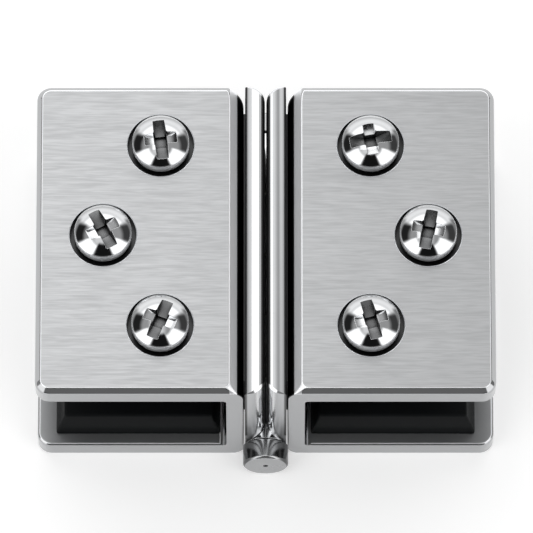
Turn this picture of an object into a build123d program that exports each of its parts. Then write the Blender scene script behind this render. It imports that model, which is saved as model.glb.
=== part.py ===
from build123d import *
from math import asin, atan, cos, degrees, radians, sin, sqrt, tan
import os

# Glass door hinge. Two C-shaped clamps each hold the edge of a glass panel between rubber
# pads. Each clamp is screwed to a hinge plate, and the plates stand face to face and turn on
# one pin at the back. Millimetres: X across the leaves, Y along the pin, Z towards the front.
# The origin is under the pin, half way along it, on the plane of the two back faces.

# Clamps
leaf_width = 29.1
leaf_height = 46.5
front_jaw = 3.4
back_jaw = 3.1
web_thickness = 2.4
face_bevel = 0.75
pivot_bevel_width = 1.05
shoulder_width = 0.9
shoulder_depth = 1.95
plan_radius = 2.0
pivot_plan_radius = 2.4
back_radius = 2.0
slot_bevel = 0.4
slot_radius = 0.6

# What lies in each slot, from the back jaw forwards
back_pad_thickness = 4.0
glass_thickness = 8.0
glass_play = 0.7
front_pad_thickness = 2.0
pressure_plate_thickness = 2.0
plate_play = 0.3
pad_end_inset = 1.65
pad_web_gap = 0.8
pad_outer_inset = 2.6
pad_slope = 1.3
front_pad_slope = 0.4

# Hinge plates, knuckles and pin
blade_gap = 0.2
blade_thickness = 2.8
shadow_gap = 0.2
blade_drop = 0.25
blade_crown_radius = 5.0
blade_crown_lean = 6
blade_inner_round = 0.85
blade_outer_round = 0.45
blade_nose_radius = 2.4
blade_end_bevel = 0.35
land_inset = 3.0
knuckle_count = 5
knuckle_clearance = 0.2
washer_thickness = 0.5
washer_clearance = 0.05
washer_lip = 0.25
pin_radius = 2.0
fixed_fit = 0.01
running_fit = 0.04
cap_lip = 0.3
cap_length = 3.0
cap_gap = 0.2
cap_bevel = 0.3
spigot_radius = 1.5
spigot_length = 2.2

# Clamp screws, M4 domed head with a slotted cross recess
thread_radius = 2.0
thread_fit = 0.05
head_radius = 4.0
head_side = 1.7
head_dome = 1.4
counterbore_clearance = 0.7
counterbore_depth = 1.6
clamp_travel = 1.3
seat_clearance = 0.1
slot_span = 5.9
cross_span = 4.65
recess_arm = 1.65
recess_core = 1.9
recess_depth = 2.4
recess_slope = 30
inner_row = 11.65
outer_row = 19.7
row_end_inset = 9.65
row_offset = 0.5

# Plate screws, M3 thin head
plate_screw_radius = 1.5
plate_screw_fit = 0.05
plate_head_radius = 2.75
plate_head_thickness = 1.25
plate_head_fit = 0.1
plate_screw_end_inset = 9.25
plate_screw_wall = 0.5
plate_recess_span = 2.8
plate_recess_arm = 0.9
plate_recess_depth = 0.9

# Worked out from the sizes above
blade_inner = blade_gap / 2
blade_outer = blade_inner + blade_thickness
web_outer = blade_outer + shadow_gap
web_inner = web_outer + web_thickness
leaf_edge = web_outer + leaf_width
half_height = leaf_height / 2
glass_gap = glass_thickness + glass_play
slot_depth = back_pad_thickness + glass_gap + front_pad_thickness + pressure_plate_thickness + plate_play
slot_top = back_jaw + slot_depth
leaf_thickness = slot_top + front_jaw
blade_top = leaf_thickness - blade_drop
row_spacing = half_height - row_end_inset
plate_screw_spacing = half_height - plate_screw_end_inset
knuckle_radius = blade_outer
relief_radius = knuckle_radius + knuckle_clearance
cap_radius = knuckle_radius + cap_lip
pin_height = cap_radius
washer_gap = washer_thickness + 2 * washer_clearance
knuckle_length = (leaf_height - (knuckle_count - 1) * washer_gap) / knuckle_count
knuckle_pitch = knuckle_length + washer_gap
cap_back = half_height + cap_gap
counterbore_radius = head_radius + counterbore_clearance
head_seat = leaf_thickness - counterbore_depth + clamp_travel + seat_clearance
head_top = head_seat + head_side + head_dome
front_pad_back = back_jaw + back_pad_thickness + glass_gap
pressure_plate_back = front_pad_back + front_pad_thickness
pressure_plate_front = pressure_plate_back + pressure_plate_thickness
dome_radius = (head_radius**2 + head_dome**2) / (2 * head_dome)
dome_centre = head_top - dome_radius
pad_length = leaf_height - 2 * pad_end_inset
pad_start = web_inner + pad_web_gap
pad_end = leaf_edge - pad_outer_inset
pad_width = pad_end - pad_start
pad_centre = (pad_start + pad_end) / 2
plate_screw_height = back_jaw + slot_depth / 2
plate_screw_tip = blade_inner + plate_screw_wall
plate_head_seat = web_inner - plate_head_fit - plate_head_thickness

SIDES = {"right": 1, "left": -1}
SCREW_PLACES = {
    "upper": (web_outer + inner_row, row_offset + row_spacing),
    "middle": (web_outer + outer_row, row_offset),
    "lower": (web_outer + inner_row, row_offset - row_spacing),
}
# How far each recess was left turned when the screw was last driven, in degrees. At zero the
# long slot lies along Y.
SCREW_TURNS = {
    ("left", "upper"): 7,
    ("left", "middle"): 27,
    ("left", "lower"): -22,
    ("right", "upper"): -80,
    ("right", "middle"): -11,
    ("right", "lower"): 15,
}
PLATE_SCREW_ROWS = {"upper": plate_screw_spacing, "lower": -plate_screw_spacing}


def save(part, name):
    part.label = name
    export_step(part, f"parts/{name}.step")


# Height of a blade's crowned front edge. It leans outwards, so it is highest near the seam.
def crown_height(distance):
    crown_peak = (blade_inner + blade_outer) / 2 - blade_crown_radius * sin(radians(blade_crown_lean))
    fall = blade_crown_radius - sqrt(blade_crown_radius**2 - (distance - crown_peak) ** 2)
    return blade_top - fall


def knuckle_centres(first):
    start = -half_height + knuckle_length / 2
    return [start + index * knuckle_pitch for index in range(first, knuckle_count, 2)]


def along_pin(centres):
    return [Location((0, y, pin_height), (90, 0, 0)) for y in centres]


def screw_places(side):
    return [(side * x, y) for x, y in SCREW_PLACES.values()]


# A plane on the slot side of a web, looking out of the slot, at mid height of the slot
def web_plane(side, distance, y=0):
    return Plane(origin=(side * distance, y, plate_screw_height), x_dir=(0, 1, 0), z_dir=(side, 0, 0))


# A clamp: a block with bevelled face edges is trimmed to the leaf's section and slotted
def build_clamp(side):
    with BuildPart() as clamp:
        with BuildSketch() as outline:
            with Locations((side * (web_outer + leaf_edge) / 2, 0)):
                Rectangle(leaf_width, leaf_height)
            outward = Axis((0, 0, 0), (side, 0, 0))
            fillet(outline.vertices().sort_by(outward)[-2:], plan_radius)
            pivot_far = outline.vertices().sort_by(outward)[:2].sort_by(Axis.Y)[-1]
            fillet(pivot_far, pivot_plan_radius)
        extrude(amount=leaf_thickness)
        chamfer(clamp.faces().sort_by(Axis.Z)[-1].edges(), face_bevel)

        # The section seen from the end. The pivot side has a bevel, then a rounded shoulder.
        shoulder_radius = (shoulder_width**2 + shoulder_depth**2) / (2 * shoulder_width)
        shoulder_half = asin(shoulder_depth / shoulder_radius) / 2
        bevel_foot = leaf_thickness - face_bevel
        shoulder_foot = bevel_foot - shoulder_depth
        with BuildSketch(Plane.XZ) as section:
            with BuildLine():
                Polyline(
                    (side * (web_outer + shoulder_width), bevel_foot),
                    (side * (web_outer + shoulder_width + pivot_bevel_width), leaf_thickness),
                    (side * leaf_edge, leaf_thickness),
                    (side * leaf_edge, 0),
                    (side * web_outer, 0),
                    (side * web_outer, shoulder_foot),
                )
                ThreePointArc(
                    (side * web_outer, shoulder_foot),
                    (
                        side * (web_outer + shoulder_radius * (1 - cos(shoulder_half))),
                        shoulder_foot + shoulder_radius * sin(shoulder_half),
                    ),
                    (side * (web_outer + shoulder_width), bevel_foot),
                )
            make_face()
            fillet(section.vertices().group_by(Axis.Y)[0].sort_by(outward)[0], back_radius)
        extrude(amount=leaf_height, both=True, mode=Mode.INTERSECT)

        # The slot for the glass, open at the outer side and at both ends
        with BuildSketch(Plane.XZ):
            with Locations((side * (web_inner + leaf_width / 2), back_jaw + slot_depth / 2)):
                Rectangle(leaf_width, slot_depth)
        extrude(amount=leaf_height, both=True, mode=Mode.SUBTRACT)
        jaw_face = clamp.faces().filter_by(Axis.Z).group_by(Axis.Z)[1].sort_by(Axis.Z)[-1]
        jaw_edges = jaw_face.edges().sort_by(outward)[1:]
        chamfer(jaw_edges, slot_bevel)
        slot_end = clamp.faces().filter_by(Axis.X).sort_by(outward)[1]
        fillet(slot_end.edges().filter_by(Axis.Y), slot_radius)

        # Clamp screw holes in the front jaw, plate screw holes in the web
        with Locations(Plane.XY.offset(leaf_thickness)):
            with Locations(*screw_places(side)):
                CounterBoreHole(
                    thread_radius + thread_fit, counterbore_radius, counterbore_depth, front_jaw + slot_radius
                )
        with Locations(web_plane(side, web_inner)):
            with Locations(*[(y, 0) for y in PLATE_SCREW_ROWS.values()]):
                CounterBoreHole(
                    plate_screw_radius + plate_screw_fit,
                    plate_head_radius + plate_head_fit,
                    web_inner - plate_head_seat,
                    web_thickness + shadow_gap,
                )
    return clamp.part


# A hinge plate: a thin blade with a crowned, rounded front edge and knuckles at the back
def build_hinge_plate(side, own, other, bore_fit):
    outward = Axis((0, 0, 0), (side, 0, 0))
    crown_middle = (blade_inner + blade_outer) / 2
    with BuildPart() as plate:
        with BuildSketch() as outline:
            with Locations((side * (blade_inner + blade_outer) / 2, 0)):
                Rectangle(blade_thickness, leaf_height)
            fillet(outline.vertices().sort_by(outward)[:2], blade_nose_radius)
        extrude(amount=blade_top)
        chamfer(plate.faces().sort_by(Axis.Z)[-1].edges().sort_by(outward)[:-1], blade_end_bevel)

        with BuildSketch(Plane.XZ) as section:
            with BuildLine():
                Polyline(
                    (side * blade_inner, crown_height(blade_inner)),
                    (side * blade_inner, pin_height),
                    (side * blade_outer, pin_height),
                    (side * blade_outer, crown_height(blade_outer)),
                )
                ThreePointArc(
                    (side * blade_outer, crown_height(blade_outer)),
                    (side * crown_middle, crown_height(crown_middle)),
                    (side * blade_inner, crown_height(blade_inner)),
                )
            make_face()
            fillet(section.vertices().group_by(outward)[0].sort_by(Axis.Y)[-1], blade_inner_round)
            fillet(section.vertices().group_by(outward)[-1].sort_by(Axis.Y)[-1], blade_outer_round)
        extrude(amount=leaf_height, both=True, mode=Mode.INTERSECT)

        # A raised land seats on the clamp's web and leaves a shadow gap round it
        land_bottom = pin_height + relief_radius + land_inset
        land_top = blade_top - land_inset
        with BuildSketch(Plane(origin=(side * blade_outer, 0, 0), x_dir=(0, 1, 0), z_dir=(side, 0, 0))):
            with Locations((0, side * (land_bottom + land_top) / 2)):
                Rectangle(leaf_height - 2 * land_inset, land_top - land_bottom)
        extrude(amount=shadow_gap)

        # Room for the other plate's knuckles, then this plate's own
        with Locations(*along_pin(other)):
            Cylinder(relief_radius, knuckle_length + 2 * washer_gap, mode=Mode.SUBTRACT)
        with Locations(*along_pin(own)):
            Cylinder(knuckle_radius, knuckle_length)
        with Locations(*along_pin([0])):
            Cylinder(pin_radius + bore_fit, 2 * leaf_height, mode=Mode.SUBTRACT)

        with Locations(web_plane(side, web_outer)):
            with Locations(*[(y, 0) for y in PLATE_SCREW_ROWS.values()]):
                Hole(plate_screw_radius, web_outer - plate_screw_tip)
    return plate.part


# The pin is turned in one piece with the cap at its near end
def build_pin():
    head_end = -cap_back - cap_length
    with BuildPart() as pin:
        with BuildSketch(Plane.XY.offset(pin_height)):
            with BuildLine():
                Polyline(
                    (0, head_end),
                    (cap_radius - cap_bevel, head_end),
                    (cap_radius, head_end + cap_bevel),
                    (cap_radius, -cap_back),
                    (pin_radius, -cap_back),
                    (pin_radius, cap_back),
                    (spigot_radius, cap_back),
                    (spigot_radius, cap_back + spigot_length),
                    (0, cap_back + spigot_length),
                    close=True,
                )
            make_face()
        revolve(axis=Axis((0, 0, pin_height), (0, 1, 0)))
    return pin.part


# The far cap is pressed on the pin's spigot
def build_end_cap():
    cap_end = cap_back + cap_length
    with BuildPart() as cap:
        with BuildSketch(Plane.XY.offset(pin_height)):
            with BuildLine():
                Polyline(
                    (0, cap_end),
                    (cap_radius - cap_bevel, cap_end),
                    (cap_radius, cap_end - cap_bevel),
                    (cap_radius, cap_back),
                    (spigot_radius + fixed_fit, cap_back),
                    (spigot_radius + fixed_fit, cap_back + spigot_length),
                    (0, cap_back + spigot_length),
                    close=True,
                )
            make_face()
        revolve(axis=Axis((0, 0, pin_height), (0, 1, 0)))
    return cap.part


def build_washer(y):
    with BuildPart() as washer:
        with Locations(*along_pin([y])):
            Cylinder(knuckle_radius - washer_lip, washer_thickness)
            Cylinder(pin_radius + running_fit, washer_thickness, mode=Mode.SUBTRACT)
    return washer.part


# How deep a recess wing that starts on the dome's surface at the given half span reaches at the
# core, measured from the top of the dome. Its floor falls evenly towards the screw's axis.
def wing_depth(half_span, half_core):
    rim = dome_radius - sqrt(dome_radius**2 - half_span**2)
    return rim + (half_span - half_core) * tan(radians(recess_slope))


# A clamp screw: a domed head over a plain shank. The recess has a long slot, a shorter one
# across it, both with sloping floors, and a deep square core.
def build_clamp_screw(x, y, turn):
    with BuildPart() as screw:
        with BuildSketch(Plane.XY.offset(head_seat)):
            with Locations((x, y)):
                Circle(head_radius)
        extrude(amount=head_side + head_dome)
        with Locations((x, y, dome_centre)):
            Sphere(dome_radius, rotation=(90, 0, 0), mode=Mode.INTERSECT)
        with BuildSketch(Plane.XY.offset(pressure_plate_front)):
            with Locations((x, y)):
                Circle(thread_radius)
        extrude(amount=head_seat - pressure_plate_front)

        half_core = recess_core / 2
        for span, angle in ((slot_span, turn + 90), (cross_span, turn)):
            along = (cos(radians(angle)), sin(radians(angle)), 0)
            depth = wing_depth(span / 2, half_core)
            reach = half_core + depth / tan(radians(recess_slope))
            across = Plane(origin=(x, y, head_top), x_dir=along, z_dir=(along[1], -along[0], 0))
            with BuildSketch(across):
                with BuildLine():
                    Polyline((-reach, 0), (reach, 0), (half_core, -depth), (-half_core, -depth), close=True)
                make_face()
            extrude(amount=recess_arm / 2, both=True, mode=Mode.SUBTRACT)
        with BuildSketch(Plane.XY.offset(head_top)):
            with Locations((x, y)):
                Rectangle(recess_core, recess_core, rotation=turn)
        extrude(amount=-recess_depth, mode=Mode.SUBTRACT)
    return screw.part


# A thin-headed screw from the slot through the web into the hinge plate
def build_plate_screw(side, y):
    head_face = plate_head_seat + plate_head_thickness
    with BuildPart() as screw:
        with BuildSketch(web_plane(side, plate_screw_tip, y)):
            Circle(plate_screw_radius)
        extrude(amount=plate_head_seat - plate_screw_tip)
        with BuildSketch(web_plane(side, plate_head_seat, y)):
            Circle(plate_head_radius)
        extrude(amount=plate_head_thickness)
        for size in ((plate_recess_span, plate_recess_arm), (plate_recess_arm, plate_recess_span)):
            with BuildSketch(web_plane(side, head_face, y)):
                Rectangle(*size)
            extrude(amount=-plate_recess_depth, mode=Mode.SUBTRACT)
    return screw.part


# The rubber pad that lies on the back jaw, with sloped sides
def build_back_pad(side):
    with BuildPart() as pad:
        with BuildSketch(Plane.XY.offset(back_jaw)):
            with Locations((side * pad_centre, 0)):
                Rectangle(pad_width, pad_length)
        extrude(amount=back_pad_thickness, taper=degrees(atan(pad_slope / back_pad_thickness)))
    return pad.part


# The steel plate between the screws' tips and the front pad
def build_pressure_plate(side):
    with BuildPart() as plate:
        with BuildSketch(Plane.XY.offset(pressure_plate_back)):
            with Locations((side * pad_centre, 0)):
                Rectangle(pad_width, pad_length)
        extrude(amount=pressure_plate_thickness)
    return plate.part


def build_front_pad(side):
    with BuildPart() as pad:
        with BuildSketch(Plane.XY.offset(pressure_plate_back)):
            with Locations((side * pad_centre, 0)):
                Rectangle(pad_width, pad_length)
        extrude(amount=-front_pad_thickness, taper=degrees(atan(front_pad_slope / front_pad_thickness)))
    return pad.part


os.makedirs("parts", exist_ok=True)

fixed_knuckles = knuckle_centres(0)
moving_knuckles = knuckle_centres(1)
save(build_hinge_plate(SIDES["right"], fixed_knuckles, moving_knuckles, fixed_fit), "right_hinge_plate")
save(build_hinge_plate(SIDES["left"], moving_knuckles, fixed_knuckles, running_fit), "left_hinge_plate")
save(build_pin(), "hinge_pin")
save(build_end_cap(), "pin_end_cap")
for number in range(1, knuckle_count):
    washer_y = -half_height + number * knuckle_pitch - washer_gap / 2
    save(build_washer(washer_y), f"knuckle_washer_{number}")

for name, side in SIDES.items():
    save(build_clamp(side), f"{name}_clamp")
    save(build_back_pad(side), f"{name}_back_pad")
    save(build_pressure_plate(side), f"{name}_pressure_plate")
    save(build_front_pad(side), f"{name}_front_pad")
    for place, (x, y) in SCREW_PLACES.items():
        save(build_clamp_screw(side * x, y, SCREW_TURNS[name, place]), f"{name}_clamp_screw_{place}")
    for place, y in PLATE_SCREW_ROWS.items():
        save(build_plate_screw(side, y), f"{name}_plate_screw_{place}")
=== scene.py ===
import logging
import math
from dataclasses import dataclass, field
from enum import Enum
from typing import Callable, Iterable, Sequence

import bmesh
import bpy
from mathutils import Matrix, Vector


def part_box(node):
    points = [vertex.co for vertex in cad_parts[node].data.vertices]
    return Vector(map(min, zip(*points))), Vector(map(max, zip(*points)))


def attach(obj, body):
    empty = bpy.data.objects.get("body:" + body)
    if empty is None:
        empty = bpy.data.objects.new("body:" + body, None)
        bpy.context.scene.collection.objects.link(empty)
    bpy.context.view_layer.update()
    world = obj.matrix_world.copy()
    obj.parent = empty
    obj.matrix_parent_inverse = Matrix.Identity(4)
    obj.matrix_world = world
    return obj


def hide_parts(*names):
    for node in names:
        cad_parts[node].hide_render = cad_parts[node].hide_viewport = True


# A glass door hinge: brushed clamps with polished bevels, mirror-bright hinge plates and pin,
# domed screws and black rubber pads. Metres, in the frame's own axes: X across the leaves,
# Y along the pin, Z out of the brushed faces.

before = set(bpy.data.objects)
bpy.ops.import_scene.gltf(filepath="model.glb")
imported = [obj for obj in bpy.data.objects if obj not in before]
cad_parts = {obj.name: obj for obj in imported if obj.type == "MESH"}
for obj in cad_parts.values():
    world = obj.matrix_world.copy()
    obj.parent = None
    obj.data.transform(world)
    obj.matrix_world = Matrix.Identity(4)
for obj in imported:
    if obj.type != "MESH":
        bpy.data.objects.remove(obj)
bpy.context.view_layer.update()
LOG = logging.getLogger("hinge")

MM = 0.001
HAIR = 0.02 * MM  # a margin that takes in points that lie on a face
BROKEN_EDGE = 0.08 * MM  # radius of an edge that a mop or a file has broken
QUARTER = math.pi / 2

Socket = bpy.types.NodeSocket
Object = bpy.types.Object
Material = bpy.types.Material
Point = tuple[float, float]
Placing = Callable[[float, float, float], Vector]


class Side(Enum):
    """The two leaves, named as the frame names their nodes."""

    LEFT = "left"
    RIGHT = "right"

    def node(self, piece: str) -> str:
        """Returns the name of this leaf's CAD node."""
        return f"{self.value}_{piece}"

    @property
    def leaf(self) -> str:
        """The body that the clamp and the hinge plate belong to."""
        return f"{self.value}_leaf"

    @property
    def pressure(self) -> str:
        """The body that moves with the clamp screws."""
        return f"{self.value}_pressure"


class Row(Enum):
    """The places of the screws along a leaf."""

    UPPER = "upper"
    MIDDLE = "middle"
    LOWER = "lower"


@dataclass(frozen=True)
class Grain:
    """A pattern in a surface.

    Attributes:
        scale: How finely it varies along X, Y and Z, per metre.
        detail: How many finer layers it has.
        warp: How much it wanders.
    """

    scale: tuple[float, float, float]
    detail: float = 3.0
    warp: float = 0.0


MOP_SWIRL = Grain((160.0, 160.0, 160.0), 4.0, 1.5)
MOP_HAIRS = Grain((2600.0, 240.0, 2600.0), 3.0, 0.5)
HAIRS_RANGE = (0.35, 0.7)  # the values of MOP_HAIRS between which the roughness changes


def grey(value: float) -> tuple[float, float, float, float]:
    """Returns a neutral grey as a colour with full alpha."""
    return (value, value, value, 1.0)


def steel(value: float) -> tuple[float, float, float, float]:
    """Returns the faintly cool grey of bare steel."""
    return (value * 0.988, value, value * 1.016, 1.0)


class Tree:
    """A node tree under construction."""

    def __init__(self, tree: bpy.types.NodeTree) -> None:
        """Empties the tree and keeps it."""
        self.tree = tree
        tree.nodes.clear()

    def add(self, kind: str, **settings: object) -> bpy.types.Node:
        """Adds a node.

        Args:
            kind: The node's type name, such as ShaderNodeMix.
            settings: Attributes set on the node.

        Returns:
            The node.
        """
        node = self.tree.nodes.new(kind)
        for name, value in settings.items():
            setattr(node, name, value)
        return node

    def join(self, source: object, target: Socket) -> None:
        """Links a socket to the target, or sets the target to a plain value.

        Args:
            source: A socket, or a plain value.
            target: The input that takes it.
        """
        if isinstance(source, bpy.types.NodeSocket):
            self.tree.links.new(source, target)
        else:
            target.default_value = source

    def math(self, operation: str, *values: object) -> Socket:
        """Adds a Math node and returns its result.

        Args:
            operation: The operation's name, such as ADD.
            values: Sockets or numbers.

        Returns:
            The result.
        """
        node = self.add("ShaderNodeMath", operation=operation)
        for socket, value in zip(node.inputs, values):
            self.join(value, socket)
        return node.outputs[0]

    def chain(self, operation: str, *values: object) -> Socket:
        """Returns the result of one operation on all the values, from the first to the last.

        Args:
            operation: The operation's name, such as ADD.
            values: Sockets or numbers.

        Returns:
            The result.
        """
        result = values[0]
        for value in values[1:]:
            result = self.math(operation, result, value)
        return result

    def times(self, *values: object) -> Socket:
        """Returns the product of the values."""
        return self.chain("MULTIPLY", *values)

    def plus(self, *values: object) -> Socket:
        """Returns the sum of the values."""
        return self.chain("ADD", *values)

    def size(self, value: object) -> Socket:
        """Returns the value without its sign."""
        return self.math("ABSOLUTE", value)

    def over(self, value: object, limit: object) -> Socket:
        """Returns 1 where the value is over the limit and 0 elsewhere."""
        return self.math("GREATER_THAN", value, limit)

    def under(self, value: object, limit: object) -> Socket:
        """Returns 1 where the value is under the limit and 0 elsewhere."""
        return self.math("LESS_THAN", value, limit)

    def outside(self, mask: object) -> Socket:
        """Returns 1 where the mask is 0, and 0 where it is 1."""
        return self.math("SUBTRACT", 1.0, mask)

    def either(self, first: object, second: object) -> Socket:
        """Returns the larger of two masks."""
        return self.math("MAXIMUM", first, second)

    def span(self, value: object, low: float, high: float, start: float, end: float) -> Socket:
        """Returns value mapped smoothly from low..high to start..end, and clamped.

        Args:
            value: What is mapped.
            low: The value that gives start.
            high: The value that gives end.
            start: The result at low and below.
            end: The result at high and above.

        Returns:
            The result.
        """
        node = self.add("ShaderNodeMapRange", interpolation_type="SMOOTHSTEP")
        names = ("Value", "From Min", "From Max", "To Min", "To Max")
        for name, item in zip(names, (value, low, high, start, end)):
            self.join(item, node.inputs[name])
        return node.outputs["Result"]

    def window(self, value: object, low: float, high: float, soft: float) -> Socket:
        """Returns 1 where the value lies between low and high and 0 outside, with soft sides.

        Args:
            value: What is tested.
            low: The lower side.
            high: The upper side.
            soft: How far each side fades to both hands.

        Returns:
            The mask.
        """
        rise = self.span(value, low - soft, low + soft, 0.0, 1.0)
        fall = self.span(value, high - soft, high + soft, 1.0, 0.0)
        return self.times(rise, fall)

    def between(self, kind: str, first_input: int, *values: object) -> bpy.types.Node:
        """Adds a Mix node.

        Args:
            kind: What it mixes, RGBA or FLOAT.
            first_input: The place of the first of its two inputs of that kind.
            values: The factor, and what it gives at 0 and at 1.

        Returns:
            The node.
        """
        node = self.add("ShaderNodeMix", data_type=kind)
        for place, value in zip((0, first_input, first_input + 1), values):
            self.join(value, node.inputs[place])
        return node

    def blend(self, factor: object, first: object, second: object) -> Socket:
        """Returns a colour between first and second."""
        return self.between("RGBA", 6, factor, first, second).outputs[2]

    def mix(self, factor: object, first: object, second: object) -> Socket:
        """Returns a number between first and second."""
        return self.between("FLOAT", 2, factor, first, second).outputs[0]

    def split(self, vector: Socket) -> tuple[Socket, Socket, Socket]:
        """Returns the three parts of a vector.

        Args:
            vector: The vector.

        Returns:
            Its X, Y and Z.
        """
        node = self.add("ShaderNodeSeparateXYZ")
        self.join(vector, node.inputs[0])
        return node.outputs[0], node.outputs[1], node.outputs[2]


class Surface(Tree):
    """The node tree of one material, with the sockets that every finish starts from."""

    def __init__(self, name: str, metallic: float = 1.0) -> None:
        """Starts a material.

        Args:
            name: The material's name.
            metallic: 1 for a metal and 0 for rubber and plastic.
        """
        self.material = bpy.data.materials.new(name)
        self.material.use_nodes = True
        super().__init__(self.material.node_tree)
        self.output = self.add("ShaderNodeOutputMaterial")
        self.shader = self.add("ShaderNodeBsdfPrincipled")
        self.join(self.shader.outputs[0], self.output.inputs["Surface"])
        self.shader.inputs["Metallic"].default_value = metallic
        coordinates = self.add("ShaderNodeTexCoord")
        self.place = coordinates.outputs["Object"]
        self.facing = coordinates.outputs["Normal"]

    def grain(self, grain: Grain) -> Socket:
        """Returns a pattern's value over the surface.

        Args:
            grain: The pattern.

        Returns:
            Its value, about 0 to 1.
        """
        mapping = self.add("ShaderNodeMapping")
        self.join(self.place, mapping.inputs["Vector"])
        mapping.inputs["Scale"].default_value = grain.scale
        noise = self.add("ShaderNodeTexNoise")
        self.join(mapping.outputs[0], noise.inputs["Vector"])
        noise.inputs["Scale"].default_value = 1.0
        noise.inputs["Detail"].default_value = grain.detail
        noise.inputs["Distortion"].default_value = grain.warp
        return noise.outputs[0]

    def tone(self, pattern: Socket, value: float, spread: float) -> Socket:
        """Returns a steel colour that a pattern takes up and down by a share of its value."""
        return self.blend(pattern, steel(value * (1 - spread)), steel(value * (1 + spread)))

    def stain(self, pattern: Socket, colour: Sequence[float], low: float, high: float) -> Socket:
        """Returns a colour that a pattern takes from low to high times its value."""
        ends = [(*[part * share for part in colour], 1.0) for share in (low, high)]
        return self.blend(pattern, *ends)

    def vary(self, pattern: Socket, low: float, high: float) -> Socket:
        """Returns a number that follows a pattern's middle values from low to high."""
        return self.span(pattern, 0.3, 0.7, low, high)

    def from_holes(self, holes: Sequence[Point]) -> Socket:
        """Returns the distance to the nearest hole's axis.

        Args:
            holes: The places of the holes on the right leaf, with the left one's opposite them.

        Returns:
            The distance.
        """
        x, y, _ = self.split(self.place)
        folded = self.add("ShaderNodeCombineXYZ")
        self.join(self.size(x), folded.inputs[0])
        self.join(y, folded.inputs[1])
        gaps = []
        for hole in holes:
            gap = self.add("ShaderNodeVectorMath", operation="DISTANCE")
            self.join(folded.outputs[0], gap.inputs[0])
            gap.inputs[1].default_value = (*hole, 0.0)
            gaps.append(gap.outputs["Value"])
        return self.chain("MINIMUM", *gaps)

    def finish(
        self, colour: object, roughness: object, height: object, depth: float, rounding: float
    ) -> Material:
        """Joins colour, roughness and relief to the shader.

        Args:
            colour: The base colour.
            roughness: The roughness.
            height: The relief, from 0 to 1.
            depth: How deep the relief is, in metres.
            rounding: Radius of the broken edges, or 0 for none.

        Returns:
            The material.
        """
        self.join(colour, self.shader.inputs["Base Color"])
        self.join(roughness, self.shader.inputs["Roughness"])
        bump = self.add("ShaderNodeBump")
        bump.inputs["Strength"].default_value = 1.0
        bump.inputs["Distance"].default_value = depth
        self.join(height, bump.inputs["Height"])
        if rounding > 0:
            bevel = self.add("ShaderNodeBevel", samples=6)
            bevel.inputs["Radius"].default_value = rounding
            self.join(bevel.outputs[0], bump.inputs["Normal"])
        self.join(bump.outputs[0], self.shader.inputs["Normal"])
        return self.material


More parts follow.
